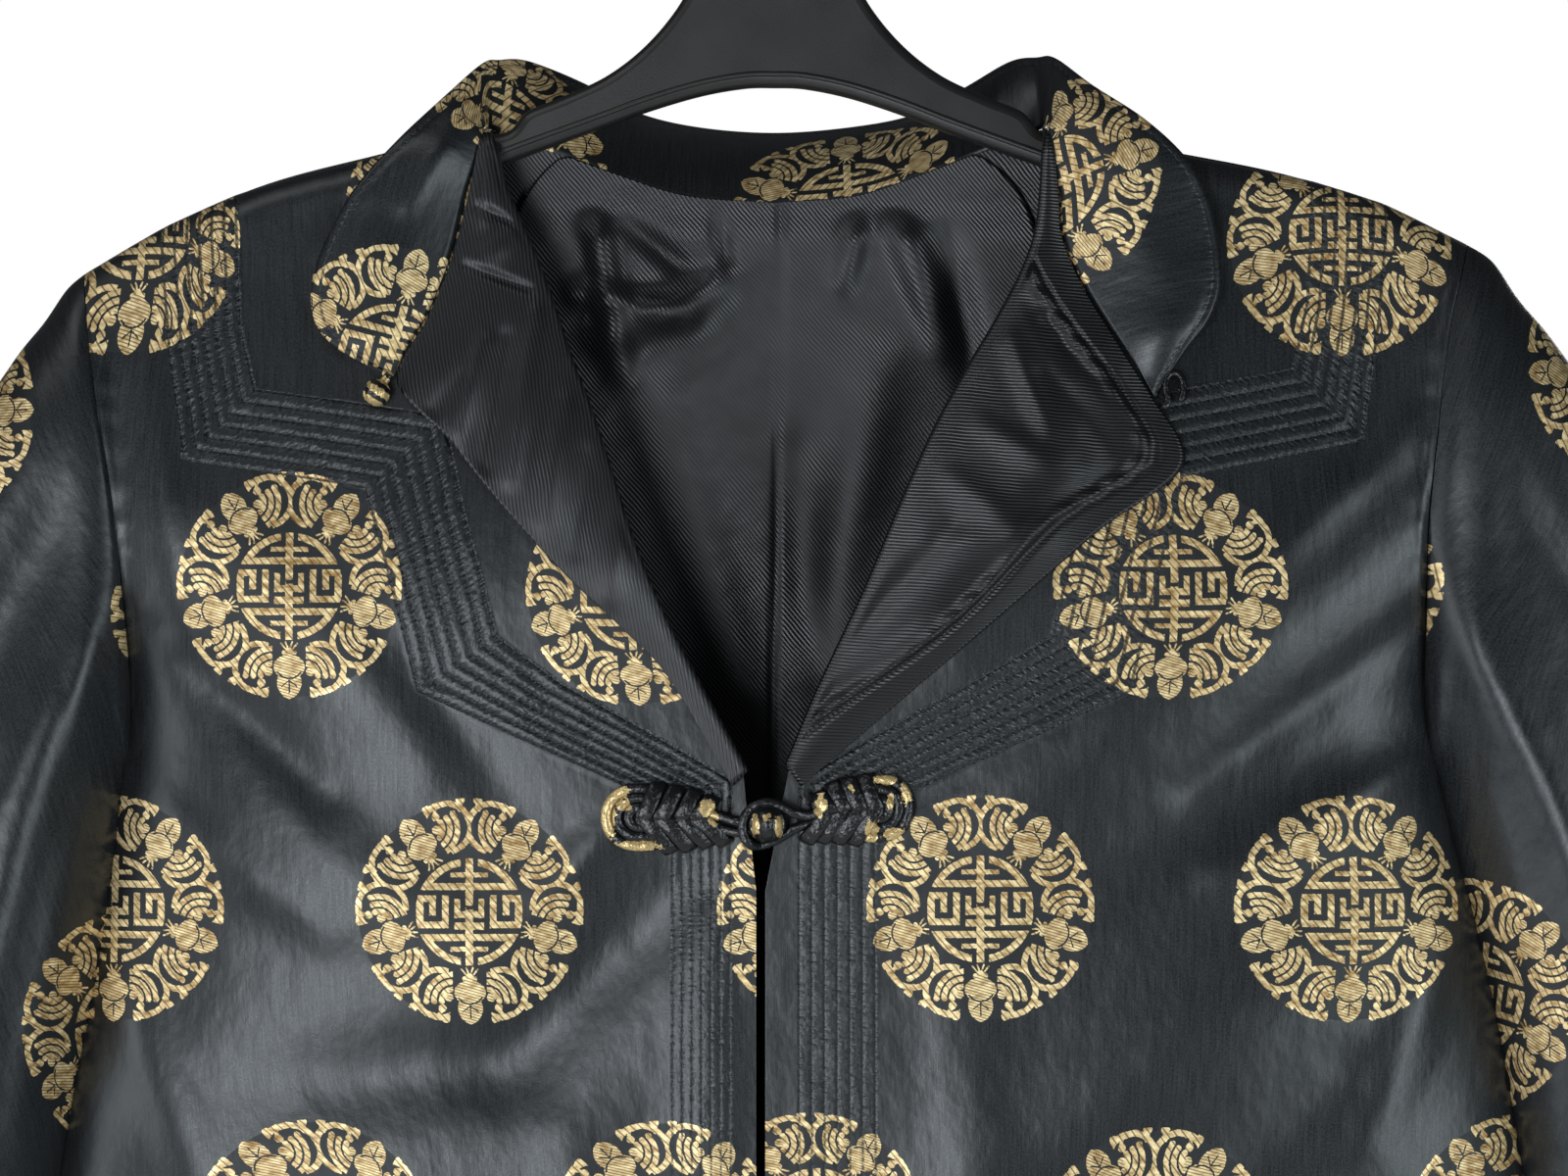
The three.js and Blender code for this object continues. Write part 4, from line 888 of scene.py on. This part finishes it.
for name in ("right", "left"):
    roll, edge, way, width = lapel_line(name, LAPEL_ROWS)
    turn = np.radians(np.linspace(-90, 90, ROLL_STEPS))
    in_roll = (len(LAPEL_ROWS), ROLL_STEPS)
    centre, low = ROLL_RADIUS + 0.7, ROLL_RADIUS - 0.8
    lapel_share = np.linspace(0, 1, 42)[1:]
    along = np.concatenate([np.broadcast_to(centre - ROLL_RADIUS * np.cos(turn), in_roll),
                            blend(centre, width[:, None], lapel_share)], 1)
    swell = np.minimum(width / 20, 2.2)[:, None] * np.sin(math.pi * lapel_share ** 0.8)
    out = np.concatenate([np.broadcast_to(low + ROLL_RADIUS * np.sin(turn), in_roll),
                          blend(low + ROLL_RADIUS, 2.1, lapel_share) + swell], 1)
    x = roll[:, :1] + way[:, :1] * along
    h = roll[:, 1:] + way[:, 1:] * along
    loose = np.concatenate([np.zeros(in_roll), ease(lapel_share, 0, 0.12) * np.ones((in_roll[0], 1))], 1)
    crease = folded(LAPEL_CREASES[name], x, h) * loose
    run = running(edge)[:, None]
    if PUCKERED[name]:
        inset = width[:, None] - along - PUCKERED[name] - 2.0 * np.sin(run / 17)
        gathers = 0.7 + 0.5 * np.sin(run / 1.45) * (0.6 + 0.4 * np.sin(run / 11))
        crease = crease + loose * (1.7 * gathers * np.exp(-((inset - 3.2) / 2.8) ** 2)
                                   - 1.2 * np.exp(-(inset / 1.2) ** 2)
                                   + 0.9 * np.sin(run / 9) * np.exp(-((inset - 8) / 5) ** 2))
    crease = np.maximum(crease, -1.7)
    out = out + crease * np.minimum((width[:, None] - along) / 4, 1).clip(0, 1)
    points = np.stack([SIGN[name] * x, -(front_depth(name, x, h) + out + 0.7), h], -1)
    flat = np.stack([SIGN[name] * x, h], -1)
    facing = sheet_mesh("lapel_" + name, points, flat, None, [lapel_twill[name]], 1.2, facing_front)
    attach(facing, "root")
    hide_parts("facing_" + name)

# The stand collar: a doubled band of the brocade, stiffened and topstitched near its free edge. It is
# laid back at both fronts and stands round the back of the neck.
COLLAR_ON_LAPEL = {
    "right": [(10, 129.5, -24.5, 142.5), (11, 138, -24.5, 155), (12, 146, -23.5, 165), (13, 150.5, -21.8, 176),
              (14, 150.5, -20.3, 187), (15, 149, -19, 197), (16, 146, -18.3, 208), (18, 138.5, -17.5, 221)],
    "left": [(12, 129.5, -24.5, 147.5), (13, 144, -24.5, 154), (14, 153, -22.8, 162), (15, 156, -21, 172),
             (16, 154.5, -19.5, 184), (17, 149, -18.3, 197), (18, 141, -17.2, 211)],
}
COLLAR_OVER_SHOULDER = {
    "right": [(93.8, -11.6, 221, 125, -13, 234), (92.5, -8.8, 230.3, 108, -3, 246),
              (91.8, 1, 233.4, 96, 10, 256), (90.8, 6.6, 232, 90, 17, 257)],
    "left": [(100.5, -11.8, 221, 127, -13.5, 227), (98.5, -8.8, 229.8, 113, -4, 241),
             (97.6, 1, 233.2, 100, 10, 254), (96.6, 6.8, 231.8, 94, 17, 256)],
}
COLLAR_ON_BACK = {
    "right": [(84, 81, 24, 256), (66, 64, 36, 247), (50, 48, 43, 239), (28, 27, 47, 235), (0, 0, 48, 233)],
    "left": [(87, 84, 24, 256), (66, 65, 35, 249), (50, 48, 43, 240), (28, 27, 47, 235)],
}


def collar_seams(name):
    """The collar's neck seam and free edge on one side, from the front end to the middle of the back."""
    seam, free = [], []
    for row, x, y, h in COLLAR_ON_LAPEL[name]:
        roll, edge, way, width = lapel_line(name, row)
        bx, bh = edge + way * 0.9
        seam.append((bx, -float(front_depth(name, bx, bh)) - 2.1, bh))
        free.append((x, y, h))
    for bx, by, bh, x, y, h in COLLAR_OVER_SHOULDER[name]:
        seam.append((bx, by, bh))
        free.append((x, y, h))
    for bx, x, y, h in COLLAR_ON_BACK[name]:
        neck = float(back_top(name, bx))
        seam.append((bx, float(back_depth(name, bx, neck)) - 0.9, neck - 0.4))
        free.append((x, y, h))
    return np.array(seam) * (SIGN[name], 1, 1), np.array(free) * (SIGN[name], 1, 1)


left_seam, left_free = collar_seams("left")
right_seam, right_free = collar_seams("right")
COLLAR_LONG, COLLAR_TALL = 260, 22
TOPSTITCH = 3.2
seam = through(np.concatenate([left_seam, right_seam[::-1]]), COLLAR_LONG)
free = through(np.concatenate([left_free, right_free[::-1]]), COLLAR_LONG)
share = np.linspace(0, 1, COLLAR_TALL)[None, :, None]
tall = np.linalg.norm(free - seam, axis=1)[:, None, None]
lift = 3 * ease(tall, 8, 30) * np.sin(math.pi * share)
laid = 1 - ease(free[:, 1], -3, 6)[:, None, None]
bulge = blend(np.array((0, -0.5, 1)), np.array((0, -1, 0.5)), laid)
points = blend(seam[:, None], free[:, None], share) + lift * bulge
run = running((seam + free) / 2)
COLLAR_CREASES = [(60, 18, 84, 10, 4, 1.2), (52, 28, 80, 22, 6, -1.0), (96, 8, 104, 36, 5, 1.1),
                  (150, 6, 158, 30, 6, 0.9), (186, 10, 200, 30, 5, -0.8), (300, 4, 310, 34, 5, 1.0),
                  (322, 14, 318, 36, 4, -1.0), (24, 10, 48, 30, 8, 0.8), (380, 12, 410, 26, 9, 0.7)]
along = np.broadcast_to(run[:, None], (COLLAR_LONG, COLLAR_TALL))
high = (share * tall)[..., 0]
crease = folded(COLLAR_CREASES, along, high) * np.sin(math.pi * share[..., 0] * 0.92 + 0.05)
to_edge = tall[..., 0] - high
crease = crease - 0.5 * np.exp(-((to_edge - TOPSTITCH) / 0.8) ** 2)
points = points + (crease * 0.9)[..., None] * bulge
flat = np.stack([along - run[-1] / 2 - 24, -high - 2], -1)
LEFT_END = (-129, 153)
TURNED = math.radians(165)
from_end = (points[..., [0, 2]] - LEFT_END) @ np.array(((math.cos(TURNED), -math.sin(TURNED)),
                                                      (math.sin(TURNED), math.cos(TURNED))))
flat = [(0, from_end), (int(np.argmax(run > 78)), flat)]
stitch = np.stack([np.minimum((to_edge - TOPSTITCH) / 4.4, 0.5), along], -1)


def out_of_collar(points, r, c):
    """Forwards where the collar is laid back."""
    return np.where(points[r, c, 1:2] < -3, (0, -1, 0), 0).reshape(-1, 3)


collar = sheet_mesh("collar_band", points, flat, stitch, [brocade], 1.4, out_of_collar)
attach(collar, "root")
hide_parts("collar")

# The sleeves: the same brocade, each cut in one piece, set into the armhole and seamed under the arm. They
# hang open at the cuff, in long folds.
SLEEVE = [(244, 186, 230.5, 12, 27, 8), (253, 173, 236, 2, 31, 6), (266, 157, 241, -14, 34, 4),
          (288, 124, 246.5, -34, 37, 2), (311, 78, 251.5, -58, 39, 0), (329, 18, 258, -92, 40, 0),
          (342, -50, 263.5, -130, 39, 0), (354, -130, 270, -190, 37, 0), (367, -222, 278, -262, 35, 0),
          (380, -312, 287, -332, 32, 0), (391, -394, 297, -398, 30, 0)]
RING_FOLDS = [(0.36, 0.13, -6, 3, 11), (0.66, 0.1, 5, 2, 9), (0.14, 0.09, -3.5, 5, 11)]
SLEEVE_CREASES = {
    "right": [(52, 60, 40, 200, 9, 2.0), (88, 40, 96, 170, 8, -1.6), (30, 110, 24, 300, 10, 1.8),
              (70, 200, 84, 340, 9, 1.6), (110, 120, 118, 260, 8, 1.5), (200, 90, 210, 300, 12, 1.8),
              (240, 60, 236, 220, 12, -1.6), (16, 40, 30, 110, 6, 1.5)],
    "left": [(50, 50, 44, 190, 9, 2.0), (90, 60, 100, 190, 8, 1.7), (26, 90, 20, 280, 9, -1.6),
             (74, 220, 88, 350, 10, 1.6), (112, 100, 122, 240, 8, -1.5), (196, 80, 206, 290, 12, 1.8),
             (244, 70, 232, 230, 12, 1.6), (18, 44, 34, 116, 6, -1.4)],
}
SLEEVE_ROWS, SLEEVE_HALF, FRONT_MIDDLE = 170, 44, 22
# Where a medallion's middle lies on a sleeve's front, how the cloth's grain leans, and one medallion moved.
SLEEVE_START = {"right": (292, 149), "left": (287, 134)}
SLEEVE_GRAIN = {"right": -16, "left": -20}
SLEEVE_NUDGE = {"right": (205, 58, -23, 10), "left": (200, 50, -12, 16)}


def out_of_sleeve(points, r, c):
    """Away from the middle of each ring."""
    return (points - points.mean(1, keepdims=True))[r, c].reshape(-1, 3)


for name in ("right", "left"):
    share = (1 - np.cos(np.linspace(0, math.pi, SLEEVE_HALF + 1))) / 2
    tip = SIDE_SEAM[name][0][0]
    seam_h = blend(tip, UNDERARM, share)
    seam_x = read(SIDE_SEAM[name], seam_h) + 0.15
    rings = []
    for toward in (-1, 1):
        rings.append([np.stack([seam_x, toward * 22 * armhole_bulge(share), seam_h], -1)])
        for r, (ox, oh, ux, uh, depth, sag) in enumerate(SLEEVE, start=1):
            drop = (tip - SIDE_SEAM["right"][0][0]) * (1 - float(ease(r, 0, 6)))
            shift = float(read(SIDE_SEAM[name], uh) - read(SIDE_SEAM["right"], uh))
            x = blend(ox, ux, share) - sag * np.sin(math.pi * share) + shift
            h = blend(oh + drop, uh, share)
            rise = 0
            for at, reach, out, start, end in RING_FOLDS:
                fades = float(ease(r, start - 2, start + 1) * (1 - ease(r, end - 1, end + 2)))
                rise = rise + out * np.exp(-((share - at) / reach) ** 2) * fades
            rise = rise * ease(share, 0, 0.1) * (1 - ease(share, 0.9, 1)) * (1 if toward < 0 else 0.7)
            rings[-1].append(np.stack([x, toward * (depth * armhole_round(share) + rise), h], -1))
    whole = np.concatenate([np.array(rings[0])[:, ::-1], np.array(rings[1])[:, 1:]], 1)
    points = through(whole, SLEEVE_ROWS)
    under_h = points[:, :1, 2]
    tuck = points[:, :1, 0] - read(SIDE_SEAM[name], under_h) + 7
    tuck = np.clip(tuck, 0, 20) * ease(np.arange(SLEEVE_ROWS)[:, None], 0, 9) * (1 - ease(-under_h, 200, 380))
    column = np.arange(2 * SLEEVE_HALF + 1)
    toward_seam = (1 - column / SLEEVE_HALF) ** 2
    points[..., 0] -= tuck * toward_seam
    points[..., 1] += 0.7 * tuck * toward_seam
    points[..., 0] *= SIGN[name]
    step = np.linalg.norm(np.diff(points, axis=1), axis=-1)
    around = np.concatenate([np.zeros((SLEEVE_ROWS, 1)), np.cumsum(step, 1)], 1)
    down = np.broadcast_to(running(points[:, FRONT_MIDDLE])[:, None], around.shape)
    rise = folded(SLEEVE_CREASES[name], around, down) * ease(down, 4, 40)
    rise = rise * np.minimum(around / 8, 1) * np.minimum((around[:, -1:] - around) / 8, 1)
    away = points - points[:, :-1].mean(1, keepdims=True)
    away = away / np.linalg.norm(away, axis=-1, keepdims=True) * (0.4, 1, 0.4)
    points = points + away * rise[..., None]
    at_x, at_h, move_x, move_h = SLEEVE_NUDGE[name]
    on_back = column > SLEEVE_HALF
    near = np.exp(-((np.abs(points[..., 0]) - at_x) ** 2 + (points[..., 2] - at_h) ** 2) / 45 ** 2)
    near = near * ~on_back
    across = np.abs(points[..., 0]) - SLEEVE_START[name][0] - move_x * near
    up = points[..., 2] - SLEEVE_START[name][1] - move_h * near
    edge_across, edge_up = across[:, SLEEVE_HALF, None], up[:, SLEEVE_HALF, None]
    outer_edge = np.gradient(np.concatenate([edge_across, edge_up], 1), axis=0)
    outer_edge /= np.linalg.norm(outer_edge, axis=1, keepdims=True)
    fold_x, fold_h = -outer_edge[:, 1:], outer_edge[:, :1]
    turned = 2 * ((across - edge_across) * fold_x + (up - edge_up) * fold_h) * on_back
    across, up = across - turned * fold_x, up - turned * fold_h
    grain = math.radians(SLEEVE_GRAIN[name])
    sideways = np.abs(np.diff(points[..., 0], axis=1))
    plain = np.hypot(sideways, np.diff(points[..., 2], axis=1))
    more = np.cumsum((step - plain) * sideways / (plain + 1e-6), 1)
    more = np.concatenate([np.zeros((SLEEVE_ROWS, 1)), more], 1)
    u = across * math.cos(grain) + up * math.sin(grain) + more - more[:, FRONT_MIDDLE, None]
    v = up * math.cos(grain) - across * math.sin(grain)
    flat = np.stack([SIGN[name] * u, v], -1)
    seam_row = np.where(down < 1.2, 0.5, -3.0)
    sleeve = sheet_mesh("sleeve_tube_" + name, points, flat, np.stack([seam_row, around], -1),
                        [brocade, inner_twill], 0.9, out_of_sleeve, True)
    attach(sleeve, "root")
    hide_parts("sleeve_" + name)

# The frogs: folded satin cord, sewn down in three rings at the outer end and plaited along the middle. On
# one side two strands end in a ball knot, and on the other they make the loop that goes round it.
FROG_HEIGHTS = (-3.4, -193.4, -383.4)
FROG_LENGTH = {"right": 0.88, "left": 1.03}
BALL_ACROSS = -2.3
BALL_OUT = 7.6
FROG_TILT = {"right": 3.6, "left": 1.8}
FROG_SWING = {"right": 0.05, "left": 0.01}
# Rings: how far out the round end is, half height, where it starts, height off the cloth.
FROG_RINGS = [(52.6, 9.4, 30, 2.1), (48.9, 6.3, 31, 2.7), (45.2, 3.1, 33, 3.3)]
# Straps: place along the middle, half height of the plait there.
FROG_STRAPS = [(40, 10.4), (34, 9.6), (28, 8.4), (22.4, 6.6)]
# Gold on the cord: place across from the ball, place up, and size, in the frog's own plane.
FROG_GOLD = {
    "left": [(52, 1, 2.2, 8), (48.5, 8.4, 3.4, 2.2), (43, -9.6, 7, 1.7), (47, 4.2, 2.2, 1.6), (19.6, 3.4, 2.4, 2.8),
             (17.5, 0, 1.2, 2)],
    "right": [(19, 3, 2, 3.6), (44, 9.6, 4, 1.6), (52, 5, 2, 3.4), (38.5, -8, 2.2, 3.6), (47.5, -8.6, 4, 1.8),
              (45.6, 2.4, 1.3, 2.6), (31, 7.4, 1.1, 1.2)],
}
BALL_GOLD = [(-3.9, -0.4, 1.25, 3.6), (0, 2.6, 1.4, 1.5), (3.9, -0.6, 1.2, 3.4)]


def tube(path, wide, thick, out=(0, -1, 0), sides=12, cap=1.5):
    """A soft flat cord along a path: out is the way its thickness goes, and its ends are rounded off."""
    out = np.broadcast_to(np.array(out, dtype=float), path.shape)
    along = np.gradient(path, axis=0)
    along /= np.linalg.norm(along, axis=1, keepdims=True)
    side = np.cross(along, out)
    side /= np.linalg.norm(side, axis=1, keepdims=True)
    out = np.cross(side, along)
    run = running(path)
    near_end = np.clip(np.minimum(run, run[-1] - run) / cap, 0, 1)
    narrow = np.sqrt(1 - (1 - near_end) ** 2) * 0.96 + 0.04
    turn = np.linspace(0, 2 * math.pi, sides, endpoint=False)
    round_x = np.sign(np.cos(turn)) * np.abs(np.cos(turn)) ** 0.8
    round_y = np.sign(np.sin(turn)) * np.abs(np.sin(turn)) ** 0.8
    rings = (path[:, None] + side[:, None] * (round_x * wide / 2)[None, :, None] * narrow[:, None, None]
             + out[:, None] * (round_y * thick / 2)[None, :, None] * narrow[:, None, None])
    r, c = np.meshgrid(np.arange(len(path) - 1) * sides, np.arange(sides), indexing="ij")
    following = (c + 1) % sides
    faces = np.stack([r + c, r + following, r + sides + following, r + sides + c], -1)
    faces = [tuple(face) for face in faces.reshape(-1, 4).tolist()]
    last = (len(path) - 1) * sides
    faces += [tuple(range(sides - 1, -1, -1)), tuple(range(last, last + sides))]
    return rings.reshape(-1, 3), faces


def cord_piece(name, tubes, golden):
    """Several cords as one mesh; golden gives each point's share of gold."""
    points, faces, at = [], [], 0
    for part, sides in tubes:
        points.append(part)
        faces += [tuple(at + corner for corner in face) for face in sides]
        at += len(part)
    points = np.concatenate(points)
    mesh = bpy.data.meshes.new(name)
    mesh.from_pydata(metres(points).tolist(), [], faces)
    mesh.attributes.new("gold", "FLOAT", "POINT").data.foreach_set("value", golden(points).astype(np.float32))
    mesh.materials.append(cord_satin)
    made = put_in(name, mesh)
    bpy.ops.object.mode_set(mode="EDIT")
    bpy.ops.mesh.select_all(action="SELECT")
    bpy.ops.mesh.normals_make_consistent(inside=False)
    bpy.ops.object.mode_set(mode="OBJECT")
    bpy.ops.object.shade_smooth()
    return made


cord_satin, tree, shader = bare_finish("cord_satin")
spot = vectors("MULTIPLY", node(tree, "TexCoord").outputs["Object"], (1000, 1000, 1000))
patch = Number(node(tree, "Attribute", attribute_name="gold").outputs["Fac"])
ragged = maths("MULTIPLY_ADD", noise(spot, 0.62, 3), 1.7, -0.85)
gold = patch + ragged > 0.44
weave = noise(vectors("MULTIPLY", spot, (1.2, 1.2, 5)), 1, 2)
crumple = noise(spot, 0.45, 2)
satin = mixed(weave, (0.0012, 0.0014, 0.0018, 1), (0.008, 0.0092, 0.011, 1))
thread = mixed(noise(spot, 1.3, 3), (0.1, 0.05, 0.012, 1), (1, 0.78, 0.38, 1))
wired(shader, mixed(gold, satin, thread), maths("MULTIPLY_ADD", weave, 0.1, 0.2),
      maths("MULTIPLY_ADD", weave, 0.06, crumple * 0.5), tint=(0.93, 0.96, 1, 1), metal=gold * 0.45)


def tilted(side, away):
    """How much higher a half of the frog lies than its ball, at how far it is past the ball."""
    return FROG_TILT[side] * ease(away, 0, 14) + FROG_SWING[side] * np.maximum(away, 0)


def on_chest(side, height, spots):
    """Places on a front from how far across from the ball, how high and how far out of the cloth."""
    spots = np.array(spots, dtype=float)
    away = np.maximum(spots[:, 0] - 8, 0) * FROG_LENGTH[side]
    x = BALL_ACROSS + SIGN[side] * (np.minimum(spots[:, 0], 8) + away)
    up = height + spots[:, 1] + tilted(side, away)
    cloth = front_depth(side, np.maximum(np.abs(x), 7), np.minimum(up, height + 3))
    smooth = float(front_depth(side, 24.0, height))
    return np.stack([x, -(blend(cloth, smooth, 0.55) + 0.9 + spots[:, 2]), up], -1)


def flat_cord(side, height, spots, wide, thick, count):
    """One sewn-down cord of a frog, through places on a front."""
    return tube(on_chest(side, height, through(spots, count)), wide, thick)


def frog_body(side, height):
    """Rings and plaited straps of one half."""
    cords = []
    for far, half, near, out in FROG_RINGS:
        bend = [(far - half + half * math.cos(a), half * math.sin(a), out)
                for a in np.radians(np.linspace(84, -84, 9))]
        spots = [(near, half * 0.8, out - 0.6), (far - half * 1.5, half, out), *bend,
                 (far - half * 1.5, -half, out), (near, -half * 0.8, out - 0.6)]
        cords.append(flat_cord(side, height, spots, 3.7, 2.9, 44))
    for k, (along, half) in enumerate(FROG_STRAPS):
        for up in (1, -1):
            top = 4.5 + 0.5 * (k % 2) + (0.25 if up > 0 else 0)
            lean = 4.4 if up > 0 else 8.4
            spots = [(along + 1.6, -1.9 * up, top - 1.8), (along + 0.4, 0.4 * up, top - 0.2),
                     (along - lean * 0.35, half * 0.38 * up, top), (along - lean * 0.7, half * 0.75 * up, top - 0.6),
                     (along - lean, half * 1.02 * up, top - 2.0), (along - lean * 1.05, half * 1.1 * up, 0.7)]
            cords.append(flat_cord(side, height, spots, 5.6, 1.9, 22))
    return cords


def ball_knot(middle, radius, bands):
    """A ball of cord turns: each band is where it crosses the front, its tilt and width."""
    cords = []
    for swing, tilt, wide in bands:
        turn = np.radians(np.linspace(-176, 176, 34))
        ring = np.stack([np.zeros(34), -np.cos(turn), np.sin(turn)], -1)
        spin = Matrix.Rotation(math.radians(tilt), 3, "Y") @ Matrix.Rotation(math.radians(swing), 3, "Z")
        ring = ring @ np.array(spin).T
        cords.append(tube(middle + ring * (radius - 1.1), wide, 2.3, ring, 10, 0.4))
    core = np.stack([np.zeros(13), np.zeros(13), np.linspace(-0.9, 0.9, 13) * radius], -1)
    cords.append(tube(middle + core, 1.5 * radius, 1.5 * radius, sides=14, cap=radius * 0.9))
    return cords


def frog_gilding(side, height, middle=None):
    """What finds the share of gold on one half of a frog, and on its ball where it has one."""
    def golden(points):
        share = np.zeros(len(points))
        away = SIGN[side] * (points[:, 0] - BALL_ACROSS)
        up = points[:, 2] - height - tilted(side, away - 8)
        away = np.where(away > 8, 8 + (away - 8) / FROG_LENGTH[side], away)
        for across, high, wide, tall in FROG_GOLD[side]:
            beside = np.hypot((away - across) / wide, (up - high) / tall)
            share = np.maximum(share, np.clip(1.6 - beside, 0, 1))
        if middle is not None:
            ball = np.linalg.norm(points - middle, axis=1) < 7.3
            across, deep, high = (points[ball] - middle).T
            lobes = np.zeros(len(across))
            for x, h, wide, tall in BALL_GOLD:
                lobes = np.maximum(lobes, 1.5 - np.hypot((across - x) / wide, (high - h) / tall))
            share[ball] = np.clip(lobes, 0, 1) * (deep < 1)
        return share
    return golden


for number, height in enumerate(FROG_HEIGHTS, start=1):
    chest = -float(front_depth("left", 7.0, height))
    middle = np.array((BALL_ACROSS, chest - BALL_OUT, height))
    cords = frog_body("left", height)
    for up in (1.9, -1.7):
        spots = [(24, up * 1.4 - 1, 2.6), (17, up * 1.1 - 0.7, 3.4), (10, up - 1.4, 4.4), (4.5, up * 0.6 - 1.2, 5.6)]
        cords.append(flat_cord("left", height, spots, 3.1, 2.8, 18))
    cords += ball_knot(middle, 6.3, [(-38, 8, 4.4), (0, 0, 4.6), (38, -8, 4.4), (90, 12, 4.6), (90, 62, 4.2)])
    knot = cord_piece("frog_with_ball_%d" % number, cords, frog_gilding("left", height, middle))
    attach(knot, "root")
    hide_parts("frog_knot_%d" % number)

    cords = frog_body("right", height)
    loop = [(24, 3.2, 2.8), (16, 0.9, 4.2), (9, 3.6, 6.2)]
    loop += [(8.2 * math.cos(a), 8.2 * math.sin(a) - 1.0, 6.6) for a in np.radians([62, 96, 130, 162, 194, 222])]
    path = on_chest("right", height, loop)
    round_ball = [tuple(place) for place in path]
    round_ball += [(BALL_ACROSS - 2.6, chest - 4.6, height - 7.2), (BALL_ACROSS + 3, chest - 3.2, height - 5.2),
                   (BALL_ACROSS + 10, chest - 3.4, height - 1.2), (BALL_ACROSS + 20, chest - 3.6, height + 1.4)]
    path = through(round_ball, 60)
    cords.append(tube(path, 3.4, 3.0))
    loop = cord_piece("frog_with_loop_%d" % number, cords, frog_gilding("right", height))
    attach(loop, "root")
    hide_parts("frog_loop_%d" % number)

# The neck closure: a small ball knot, mostly gold, under one end of the collar, and a thin loop under the
# other. The knot hangs from a short stalk.
knot_depth = float(front_depth("left", 133.5, 141.0))
middle = np.array((-133.5, -(knot_depth + 5.4), 141))
cords = ball_knot(middle, 4.6, [(-36, 20, 3.4), (4, 12, 3.4), (44, 4, 3.4), (90, 30, 3.2)])
stalk = through([middle + (5, 3.2, 7), middle + (2.5, 2, 4), middle], 10)
cords.append(tube(stalk, 3, 2.6))


def neck_gold(points):
    """Slanting bands of gold."""
    return np.clip(2.2 * np.sin(0.9 * points[:, 0] + 1.3 * points[:, 2]) + 0.9, 0, 1)


knot = cord_piece("neck_knot", cords, neck_gold)
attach(knot, "root")
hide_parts("neck_button")

NECK_LOOP = [(7, 1), (8.6, 3), (8.2, 6), (8, 9), (9, 11.4), (11, 12), (12.6, 10.6), (13.2, 8), (12.8, 5), (12, 3)]
spots = through(NECK_LOOP, 40)
x, h = 122.5 + 1.15 * spots[:, 0], 134.5 + 1.1 * spots[:, 1]
path = np.stack([x, -(front_depth("right", x, h) + 2.9), h], -1)
loop = cord_piece("neck_cord_loop", [tube(path, 2.3, 2.1, sides=10)], lambda points: np.zeros(len(points)))
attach(loop, "root")
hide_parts("neck_loop")
